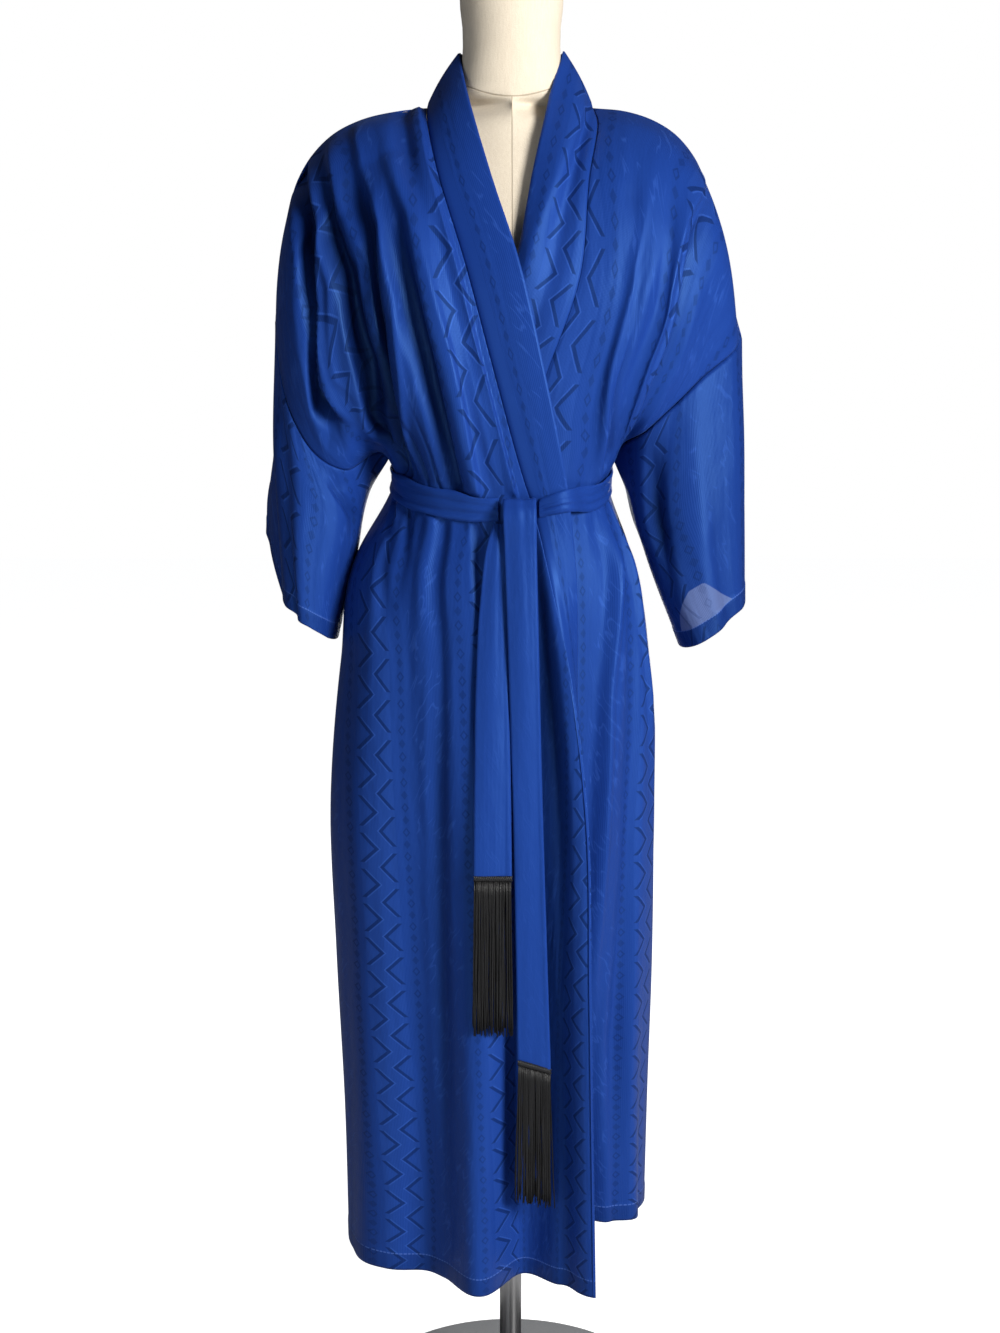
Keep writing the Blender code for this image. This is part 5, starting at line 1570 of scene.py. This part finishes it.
    def build_tail(
        self, name: str, rows: Sequence[tuple[float, ...]], slant: float, drop: float, front: Drape,
        material: Material,
    ) -> tuple[Object, np.ndarray]:
        """One hanging tail.

        Args:
            name: the piece's name.
            rows: height, left and right side and depth of its sections.
            slant: how much lower its right corner hangs.
            drop: how far its fringe reaches below it.
            front: the front that it hangs over.
            material: its material.

        Returns:
            The tail, and the points of its lower edge.
        """
        sections = self.tail_lines(rows, slant, drop, front)
        steps = [1] + [3] * (len(rows) - 2)
        lines = loft(sections, steps, np.arange(0, sum(steps) + 1e-9, 1 / 8))
        drape = Drape(lines, np.arange(len(lines)), np.arange(self.tail_points), -1)
        down = lengths_along(lines[:, self.tail_points // 2])
        across = np.linspace(-1, 1, self.tail_points)[None, :]
        run = down[:, None]
        wave = 0.0011 * np.sin(across * 2.2 + run * 9) * np.clip(run / 0.05, 0, 1)
        crease = -0.0012 * bell(across - 0.15 * np.sin(7 * run), 0.25, 0.18) * np.clip(1 - run / 0.22, 0, 1)
        drape.raise_by(wave + crease + 0.0012 * bell(across, 0.86, 0.07))
        inner = drape.points - drape.normals() * self.tail_wall
        cloth = spread_out((across[0] + 1) * 0.018 + self.tail_pattern_at, down)
        return band_object(name, drape.points, inner, cloth, material), lines[-1]


def round_edges(mesh: BMesh, edges: Sequence[BMEdge], offset: float, segments: int) -> None:
    """Bevel edges to a round profile."""
    bmesh.ops.bevel(
        mesh, geom=edges, offset=offset, offset_type="OFFSET", affect="EDGES", segments=segments, profile=0.5,
        material=-1,
    )


@dataclass
class Fringe:
    """A fringe: a braided heading over a tail's edge and separate twisted strands."""

    name: str
    drop: float
    seed: int
    strands: int = 31
    # painted shade: the strands of the layers behind are darker, as if shaded by the front one
    layer_painted_shades: tuple[float, float, float] = (1.0, 0.4, 0.15)
    radius: float = 0.00066
    sides: int = 5
    steps: int = 9
    stitches: int = 20
    stitch_size: tuple[float, float, float] = (0.0016, 0.0014, 0.006)
    stitch_lean: float = 28.0
    heading_tone: float = 1.3

    def build(self, edge: np.ndarray, wall: float, material: Material) -> Object:
        """Hang the strands in three layers, the ones behind with painted shade, and stitch the heading over their
        tops.

        Args:
            edge: points of the tail's lower edge.
            wall: the tail's thickness.
            material: its material.

        Returns:
            The object.
        """
        chance = np.random.default_rng(self.seed)
        mesh = bmesh.new()
        # each point's own tone and painted shade, read by the yarn material
        tone_and_painted_shade = mesh.verts.layers.float.new("tone_and_painted_shade")
        left, right = edge[0], edge[-1]
        for layer, layer_painted_shade in enumerate(self.layer_painted_shades):
            for k in range(self.strands):
                share = (k + 0.5 + chance.uniform(-0.3, 0.3) + 0.33 * layer) / (self.strands + 0.7)
                top = left + (right - left) * min(max(share, 0.01), 0.99)
                start = Vector((top[0], top[1] + wall / 2 + (layer - 1) * 0.001, top[2] - 0.002))
                self.hang(mesh, chance, start, share, layer_painted_shade)
        born = len(mesh.verts)
        self.stitch_heading(mesh, Vector(left), Vector(right))
        mesh.verts.ensure_lookup_table()
        for vert in mesh.verts[born:]:
            vert[tone_and_painted_shade] = self.heading_tone
        bmesh.ops.recalc_face_normals(mesh, faces=mesh.faces[:])
        return add_mesh(self.name, mesh, material)

    def hang(
        self, mesh: BMesh, chance: np.random.Generator, start: Vector, share: float, layer_painted_shade: float
    ) -> None:
        """Hang one strand that sways a little, closed at both ends.

        Args:
            mesh: the fringe's mesh.
            chance: where its small differences come from.
            start: the middle of its top.
            share: its place along the tail's edge, from 0 to 1.
            layer_painted_shade: how light its layer is painted; the layers behind get painted shade.
        """
        fall = self.drop + 0.01 + chance.uniform(-0.011, 0.002)
        spread = (share - 0.5) * 0.004 + chance.uniform(-0.0016, 0.0016)
        bend = chance.uniform(-0.0024, 0.0024)
        # each strand's own random tone, times its layer's painted shade
        shade = chance.uniform(0.3, 1.0) * layer_painted_shade
        phase = chance.uniform(0, 6.28)
        tone_and_painted_shade = mesh.verts.layers.float["tone_and_painted_shade"]
        ring = bmesh.ops.create_circle(mesh, cap_ends=False, segments=self.sides, radius=self.radius)["verts"]
        bmesh.ops.translate(mesh, vec=start, verts=ring)
        for vert in ring:
            vert[tone_and_painted_shade] = shade
        edges = ring_edges(ring)
        bmesh.ops.edgeloop_fill(mesh, edges=edges)
        for step in range(self.steps):
            low = (step + 1) / self.steps
            ring, edges = grow_ring(mesh, edges)
            sway = bend * (math.sin(2.2 * low + phase) - math.sin(2.2 * (low - 1 / self.steps) + phase))
            curl = chance.uniform(-0.0006, 0.0006) * (low > 0.8)
            move = (spread / self.steps + sway + curl, sway * 0.3, -fall / self.steps)
            bmesh.ops.translate(mesh, vec=move, verts=ring)
            for vert in ring:
                vert[tone_and_painted_shade] = shade
        bmesh.ops.edgeloop_fill(mesh, edges=edges)

    def stitch_heading(self, mesh: BMesh, left: Vector, right: Vector) -> None:
        """Add the braided heading: two rows of small crossing stitches from left to right."""
        for k in range(self.stitches):
            for lean in (-1, 1):
                centre = left + (right - left) * ((k + 0.5) / self.stitches)
                verts = bmesh.ops.create_cube(mesh, size=1.0)["verts"]
                bmesh.ops.scale(mesh, vec=self.stitch_size, verts=verts)
                turn = Matrix.Rotation(math.radians(self.stitch_lean * lean), 3, "Y")
                bmesh.ops.rotate(mesh, cent=(0, 0, 0), matrix=turn, verts=verts)
                place = (centre.x, centre.y - 0.0016 + 0.0004 * lean, centre.z - 0.0018)
                bmesh.ops.translate(mesh, vec=place, verts=verts)
                round_edges(mesh, ring_edges(verts), 0.0004, 1)


@dataclass
class DressForm:
    """The padded torso and neck that the robe hangs on."""

    rings: tuple[tuple[float, float, float, float, float], ...] = (
        (0.76, 0.12, 0.084, 0.1, 2.2), (0.766, 0.13, 0.09, 0.108, 2.2),
        (0.86, 0.142, 0.096, 0.12, 2.2), (0.95, 0.126, 0.093, 0.112, 2.2),
        (1.05, 0.096, 0.082, 0.086, 2.2), (1.15, 0.108, 0.092, 0.09, 2.2),
        (1.26, 0.126, 0.104, 0.098, 2.2), (1.34, 0.138, 0.094, 0.098, 2.2),
        (1.39, 0.156, 0.076, 0.086, 2.0), (1.42, 0.164, 0.062, 0.072, 1.5),
        (1.44, 0.148, 0.055, 0.06, 1.1), (1.449, 0.129, 0.051, 0.054, 0.85),
        (1.453, 0.115, 0.05, 0.052, 0.8), (1.4555, 0.088, 0.049, 0.0515, 0.85),
        (1.462, 0.068, 0.049, 0.051, 1.5), (1.48, 0.057, 0.05, 0.051, 2.0),
        (1.52, 0.0515, 0.049, 0.049, 2.0), (1.594, 0.051, 0.049, 0.049, 2.0),
        (1.6, 0.048, 0.046, 0.046, 2.0),
    )
    sides: int = 112

    def ring(self, row: tuple[float, ...]) -> np.ndarray:
        """Points of one level, rounded ring, going round from the front."""
        height, half_width, front, back, square = row
        turn = 2 * np.pi * np.arange(self.sides) / self.sides
        across, ahead = np.sin(turn), np.cos(turn)
        x = np.sign(across) * np.abs(across) ** (2 / square) * half_width
        deep = np.where(ahead < 0, back, front)
        y = -np.sign(ahead) * np.abs(ahead) ** (2 / square) * deep
        return np.stack([x, y, np.full(self.sides, height)], axis=1)

    def build(self, material: Material) -> Object:
        """Loft the rings and close the ends."""
        mesh = bmesh.new()
        sections = np.array([self.ring(row) for row in self.rings])
        steps = [1] + [6] * 12 + [4] * (len(self.rings) - 14)
        wanted = np.arange(0, sum(steps) + 1e-9, 1.0)
        lines = loft(sections, steps, wanted)
        index = mesh.verts.layers.int.new("index")
        ring = bmesh.ops.create_circle(mesh, cap_ends=False, segments=self.sides, radius=1.0)["verts"]
        for vert in ring:
            turn = math.atan2(vert.co.x, -vert.co.y) / (2 * math.pi)
            vert[index] = round(turn * self.sides) % self.sides
            vert.co = lines[0][vert[index]]
        edges = ring_edges(ring)
        for line in lines[1:]:
            verts, edges = grow_ring(mesh, edges)
            for vert in verts:
                vert.co = line[vert[index]]
        bmesh.ops.holes_fill(mesh, edges=[e for e in mesh.edges if e.is_boundary], sides=0)
        bmesh.ops.recalc_face_normals(mesh, faces=mesh.faces[:])
        thing = add_mesh("dress_form_padded", mesh, material)
        thing.data.set_sharp_from_angle(angle=math.radians(60))
        return thing


@dataclass
class Stand:
    """The weighted base, its flange and the pole."""

    base_radius: float = 0.17
    base_thick: float = 0.014
    base_edge: float = 0.008
    flange_radius: float = 0.03
    flange_height: float = 0.022
    flange_taper: float = 0.006
    pole_radius: float = 0.0125
    gap: float = 0.0003
    form_low: float = 0.76

    @staticmethod
    def turned(name: str, profile: Sequence[tuple[float, float]], material: Material) -> Object:
        """A turned solid from a profile of (radius, height) points with its ends on the axis."""
        mesh = bmesh.new()
        points = [mesh.verts.new((radius, 0.0, height)) for radius, height in profile]
        edges = [mesh.edges.new(pair) for pair in zip(points, points[1:])]
        bmesh.ops.spin(
            mesh, geom=points + edges, axis=(0, 0, 1), cent=(0, 0, 0), angle=2 * math.pi, steps=96, use_merge=True
        )
        bmesh.ops.remove_doubles(mesh, verts=mesh.verts[:], dist=1e-6)
        bmesh.ops.recalc_face_normals(mesh, faces=mesh.faces[:])
        sharp = [e for e in mesh.edges if e.is_manifold and e.calc_face_angle() > math.radians(35)]
        round_edges(mesh, sharp, 0.0008, 2)
        thing = add_mesh(name, mesh, material)
        thing.data.set_sharp_from_angle(angle=math.radians(40))
        return thing

    def build(self, steel: Material, paint: Material) -> tuple[Object, Object]:
        """Build the base and the pole."""
        top = self.base_thick + self.flange_height
        base = self.turned("stand_base_plate", (
            (0.0, 0.0), (self.base_radius, 0.0), (self.base_radius, self.base_thick - self.base_edge / 2),
            (self.base_radius - self.base_edge, self.base_thick), (self.flange_radius, self.base_thick),
            (self.flange_radius - self.flange_taper, top), (0.0, top),
        ), paint)
        low, high = top + self.gap, self.form_low - self.gap
        profile = ((0.0, low), (self.pole_radius, low), (self.pole_radius, high), (0.0, high))
        return base, self.turned("stand_pole_tube", profile, steel)


@dataclass(frozen=True)
class Lamp:
    """A square soft light: where it is, what it is aimed at, its size, power and colour."""

    name: str
    at: Point
    aim: Point
    size: float
    power: float
    colour: Colour

    def light(self) -> None:
        """Hang it."""
        data = bpy.data.lights.new(self.name, "AREA")
        data.size = self.size
        data.energy = self.power
        data.color = self.colour
        thing = show(self.name, data)
        thing.location = self.at
        thing.rotation_euler = (Vector(self.aim) - Vector(self.at)).to_track_quat("-Z", "Y").to_euler()


@dataclass
class Studio:
    """The camera, the soft lights, the floor and the backdrop."""

    lens: float = 51.853
    camera_at: Point = (-0.0122, -2.1, 1.14993)
    pitch: float = 7.9023
    lamps: tuple[Lamp, ...] = (
        Lamp("key", (1.95, -2.3, 1.85), (0.0, 0.0, 0.95), 1.0, 152.0, (1.0, 0.985, 0.96)),
        Lamp("fill", (-1.5, -2.6, 0.3), (0.0, 0.0, 0.45), 1.4, 25.0, (0.92, 0.96, 1.0)),
        Lamp("rear", (0.2, 2.8, 1.1), (0.0, 0.0, 0.8), 1.6, 24.0, (0.96, 0.98, 1.0)),
    )
    room_light: float = 0.06

    def camera(self) -> None:
        """Place the camera where the photograph was taken from."""
        data = bpy.data.cameras.new("camera")
        data.lens = self.lens
        data.sensor_width = 36.0
        data.sensor_fit = "AUTO"
        thing = show("camera", data)
        thing.location = self.camera_at
        thing.rotation_euler = (math.radians(90 - self.pitch), 0.0, 0.0)
        bpy.context.scene.camera = thing

    def lights(self) -> None:
        """A window-like key from the front right, weak fills in front and behind, and a white backdrop."""
        for lamp in self.lamps:
            lamp.light()
        world = bpy.data.worlds.new("studio")
        world.use_nodes = True
        tree = world.node_tree
        shown, room = tree.nodes["Background"], tree.nodes.new("ShaderNodeBackground")
        white, cool = (1.0, 1.0, 1.0, 1.0), (0.85, 0.9, 1.0, 1.0)
        for node, colour, strength in ((shown, white, 1.0), (room, cool, self.room_light)):
            node.inputs[0].default_value = colour
            node.inputs[1].default_value = strength
        mix = tree.nodes.new("ShaderNodeMixShader")
        seen = tree.nodes.new("ShaderNodeLightPath").outputs["Is Camera Ray"]
        for slot, source in zip(mix.inputs, (seen, room.outputs[0], shown.outputs[0])):
            feed(tree, slot, source)
        feed(tree, tree.nodes["World Output"].inputs[0], mix.outputs[0])
        bpy.context.scene.world = world

    @staticmethod
    def floor() -> None:
        """A plain pale floor that runs into the white behind it, as far as the camera sees."""
        mesh = bmesh.new()
        bmesh.ops.create_grid(mesh, x_segments=1, y_segments=1, size=12.0)
        pale = Surface("floor", {
            "Base Color": (0.55, 0.55, 0.55, 1.0), "Roughness": 0.9, "Emission Color": (1.0, 1.0, 1.0, 1.0),
        })
        seen = pale.tree.nodes.new("ShaderNodeLightPath").outputs["Is Camera Ray"]
        pale.drive("Emission Strength", Field(pale.tree, seen) * 0.96)
        add_mesh("floor", mesh, pale.material, smooth=False)


class Robe:
    """The robe's surfaces and pieces."""

    def __init__(self) -> None:
        """Work out the surfaces."""
        right = front_drape(FRONT_RIGHT, SHOULDER_RIGHT, Side.RIGHT, FOLDS_FRONT_RIGHT, SMALL_FRONT_RIGHT)
        left = front_drape(FRONT_LEFT, SHOULDER_LEFT, Side.LEFT, FOLDS_FRONT_LEFT, SMALL_FRONT_LEFT)
        back = back_drape()
        meet(right, back, 0)
        meet(left, back, -1)
        sleeve_right = sleeve_drape(right, back, 0, SLEEVE_RIGHT, Side.RIGHT, FOLDS_SLEEVE_RIGHT, SMALL_SLEEVE_RIGHT)
        sleeve_left = sleeve_drape(left, back, -1, SLEEVE_LEFT, Side.LEFT, FOLDS_SLEEVE_LEFT, SMALL_SLEEVE_LEFT)
        # painted shade: the whole left sleeve is darkened a little more
        sleeve_left.marks["deep"] = np.clip(sleeve_left.marks["deep"] + PAINTED_SLEEVE_SHADE, 0, 1)
        self.drapes = {
            "front_right": right, "front_left": left, "back": back,
            "sleeve_right": sleeve_right, "sleeve_left": sleeve_left,
        }
        self.collars = {side: Collar(side) for side in (Side.RIGHT, Side.LEFT)}

    def lay_patterns(self) -> None:
        """Lay the woven pattern on every piece."""
        down = ((0, 0.71), (6, 0.71), (10, 0.78), (13, 0.92), (16, 1.01), (19, 1.14), (22, 1.28))
        lay_pattern(self.drapes["front_right"], (
            (0, 0, 0.085, 18, 0.3),
            (2.5, 0, 0.085, 0.55, 0.094, 4.9, 0.158, 18, 0.29),
            (5.5, 0, 0.062, 0.33, 0.066, 2.5, 0.094, 6.2, 0.158, 18, 0.27),
            (7.2, 0, 0.046, 1.7, 0.066, 3.6, 0.094, 8.5, 0.158, 18, 0.258),
            (9.0, 0, 0.034, 2.5, 0.066, 5.0, 0.094, 10.0, 0.158, 18, 0.25),
            (10.5, 0, 0.02, 3.4, 0.066, 5.4, 0.094, 10.8, 0.158, 18, 0.25),
            (12.6, 0, 0.0, 4.25, 0.066, 6.2, 0.094, 10.9, 0.158, 18, 0.25),
            (14.5, 0, -0.028, 4.4, 0.066, 6.35, 0.094, 10.4, 0.158, 12.1, 0.186, 14.5, 0.214, 18, 0.25),
            (17.2, 0, -0.06, 4.6, 0.066, 6.4, 0.094, 10.0, 0.158, 11.5, 0.186, 13.4, 0.214, 18, 0.252),
            (19.3, 0, -0.079, 1.15, -0.054, 4.8, 0.066, 6.0, 0.094, 9.75, 0.158, 11.46, 0.186, 13.3, 0.214, 18, 0.254),
            (21.9, 0, -0.08, 1.04, -0.054, 2.7, -0.012, 4.6, 0.066, 5.75, 0.094, 9.1, 0.158, 10.7, 0.186, 12.5, 0.214,
             18, 0.258),
        ), down)
        lay_pattern(self.drapes["front_left"], (
            (0, 0, 0.08, 18, 0.3),
            (2.7, 0, 0.08, 0.7, 0.094, 5.5, 0.158, 18, 0.29),
            (5.5, 0, 0.062, 0.3, 0.066, 2.6, 0.094, 7.5, 0.158, 18, 0.27),
            (7.4, 0, 0.052, 1.5, 0.066, 4.8, 0.094, 10.5, 0.158, 18, 0.258),
            (9.4, 0, 0.04, 2.6, 0.066, 7.4, 0.094, 12.5, 0.158, 18, 0.25),
            (12.5, 0, 0.0, 4.5, 0.066, 7.4, 0.094, 10.0, 0.126, 14.0, 0.158, 18, 0.23),
            (14.5, 0, -0.01, 4.5, 0.066, 7.0, 0.094, 8.7, 0.126, 13.0, 0.158, 18, 0.23),
            (17.5, 0, -0.01, 4.0, 0.04, 7.7, 0.126, 11.1, 0.158, 18, 0.23),
            (23, 0, -0.01, 7.4, 0.126, 10.3, 0.158, 18, 0.23),
        ), down)
        lay_pattern(self.drapes["back"], (
            (0, 0, -0.3, 11, -0.094, 14, -0.006, 17, 0.082, 28, 0.288),
            (10, 0, -0.25, 14, -0.006, 28, 0.238), (23, 0, -0.258, 14, -0.006, 28, 0.246),
        ), down)
        cuff = ((0, 0.8), (8, 0.92))
        lay_pattern(self.drapes["sleeve_right"], (
            (0, 0, -0.03, 10, 0.21, 20, 0.45),
            (2.4, 0, 0.01, 5.26, 0.094, 6.5, 0.126, 10, 0.19, 20, 0.37),
            (8, 0, 0.01, 4.8, 0.094, 5.8, 0.126, 10, 0.19, 20, 0.37),
        ), cuff, 0.22)
        lay_pattern(self.drapes["sleeve_left"], (
            (0, 0, 0.182, 6.0, 0.094, 10, 0.02, 20, -0.178),
            (3, 0, 0.182, 5.5, 0.094, 10, 0.01, 20, -0.178), (8, 0, 0.182, 4.5, 0.094, 10, 0.0, 20, -0.178),
        ), cuff, 0.22)

    def finish_surfaces(self) -> None:
        """Draw in the seams, thicken the hems, and mark where the left cuff gets painted light, as if shining through
        its single layer.
        """
        seams = {
            "front_right": (Edge.TOP, Edge.LAST), "front_left": tuple(Edge), "back": tuple(Edge),
            "sleeve_right": (Edge.TOP,), "sleeve_left": (Edge.TOP,),
        }
        for name, edges in seams.items():
            self.drapes[name].sink_seams(edges)
            step_hem(self.drapes[name])
        # painted light: where light from behind is painted through the left cuff's single layer
        cuff = self.drapes["sleeve_left"]
        row, column = cuff.rows[:, None], cuff.columns[None, :]
        corner = (7.6, 7.25, 5.7, 5.82, 6.25, 6.75, 7.25, 8.4)
        low = np.interp(column, (2.0, 2.6, 4.8, 5.6, 6.4, 7.2, 7.7, 8.2), corner)
        reach = np.where((column > 1.6) & (column < 8.6), row - low, -1.0)
        cuff.marks["painted_backlight"] = np.clip(0.5 + reach, 0.0, 1.0)


@dataclass(frozen=True)
class SheetFacts:
    """What a piece of cloth was before it was hung: its flat width and length, and its area."""

    flat: tuple[float, float]
    held: str
    rests_on: tuple[str, ...]
    area: float | None = None


# The flat size of every piece of cloth. The collar band and the sash are doubled, and have the
# size that they are finished to.
SHEETS = {
    "back": SheetFacts((0.9, 1.32), "hung", ("dress_form_padded",), 0.674),
    "front_right": SheetFacts((0.43, 1.33), "hung", ("dress_form_padded", "front_left_cloth"), 0.417),
    "front_left": SheetFacts((0.32, 1.28), "hung", ("dress_form_padded",), 0.278),
    "sleeve_right": SheetFacts((0.57, 0.3), "hung", ("front_right_cloth", "back_cloth"), 0.077),
    "sleeve_left": SheetFacts((0.49, 0.28), "hung", ("front_left_cloth", "back_cloth"), 0.097),
    "collar_right": SheetFacts((0.065, 1.46), "folded", ("front_right_cloth", "back_cloth")),
    "collar_left": SheetFacts((0.065, 1.46), "folded", ("front_left_cloth", "back_cloth")),
    "sash_band": SheetFacts((0.026, 0.66), "folded", ("front_right_cloth", "back_cloth", "front_left_cloth")),
    "sash_knot": SheetFacts((0.033, 0.034), "folded", ("sash_band_wrap", "front_right_cloth")),
    "sash_tail_long": SheetFacts((0.033, 0.6), "hung", ("sash_knot_pad",)),
    "sash_tail_short": SheetFacts((0.036, 0.36), "hung", ("sash_knot_pad",)),
}
FRINGE_OF = {"sash_tail_long": "fringe_long", "sash_tail_short": "fringe_short"}


def sew(robe: Robe, wardrobe: Wardrobe) -> list[tuple[Object, str, str]]:
    """Build the robe's pieces.

    Args:
        robe: its surfaces.
        wardrobe: its finishes.

    Returns:
        Each piece with the node that it stands for and its material slot.
    """
    cloth = wardrobe.cloth(ClothFinish("robe_jacquard"))
    sash_cloth = wardrobe.cloth(ClothFinish("sash_jacquard", roughness=0.4, brush=0.06))
    sash, front = Sash(), robe.drapes["front_right"]
    robe.drapes["collar_right"] = robe.collars[Side.RIGHT].drape(front, FRONT_RIGHT)
    bands = {
        "collar_right": robe.collars[Side.RIGHT].build(front, FRONT_RIGHT, cloth),
        "collar_left": robe.collars[Side.LEFT].build(robe.drapes["front_left"], FRONT_LEFT, cloth),
        "sash_band": sash.build_band(robe.drapes, sash_cloth),
        "sash_knot": sash.build_knot(sash_cloth),
    }
    del robe.drapes["collar_right"]
    fringes = {"long": Fringe("fringe_long_strands", 0.142, 7), "short": Fringe("fringe_short_strands", 0.158, 3)}
    edges = {}
    for kind, rows, slant in (("long", sash.long_rows, 0.01), ("short", sash.short_rows, 0.0)):
        name = "sash_tail_" + kind
        bands[name], edges[kind] = sash.build_tail(name + "_cloth", rows, slant, fringes[kind].drop, front, sash_cloth)
    yarn = wardrobe.yarn(YarnFinish())
    hanging_ends = {"fringe_" + kind: each.build(edges[kind], sash.tail_wall, yarn) for kind, each in fringes.items()}
    robe.finish_surfaces()
    panels = {name: cloth_object(name + "_cloth", drape, cloth) for name, drape in robe.drapes.items()}
    pieces = [(thing, node, "robe_cloth") for node, thing in (panels | bands).items()]
    return pieces + [(thing, node, "fringe_black") for node, thing in hanging_ends.items()]


def main() -> None:
    """Build the robe, its sash, the form and the stand, then the studio."""
    logging.basicConfig(level=logging.INFO, format="%(message)s")
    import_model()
    wardrobe = Wardrobe()
    robe = Robe()
    robe.lay_patterns()
    pieces = sew(robe, wardrobe)
    form = DressForm().build(wardrobe.linen(LinenFinish()))
    base, pole = Stand().build(wardrobe.metal(POLE_STEEL), wardrobe.metal(BASE_PAINT))
    pieces += [
        (form, "dress_form", "form_linen"), (pole, "stand_pole", "pole_steel"), (base, "stand_base", "base_paint"),
    ]
    for thing, node, slot in pieces:
        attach(thing, "root")
        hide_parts(node)
        log.info("%s stands for %s: %d faces", thing.name, node, len(thing.data.polygons))
    by_node = {node: thing for thing, node, _ in pieces}
    for node, facts in SHEETS.items():
        hanging_from_it = [by_node[FRINGE_OF[node]]] if node in FRINGE_OF else []
    studio = Studio()
    studio.camera()
    studio.lights()
    studio.floor()
    bpy.context.scene.view_settings.view_transform = "Standard"
    bpy.context.view_layer.update()


if __name__ == "__main__":
    main()
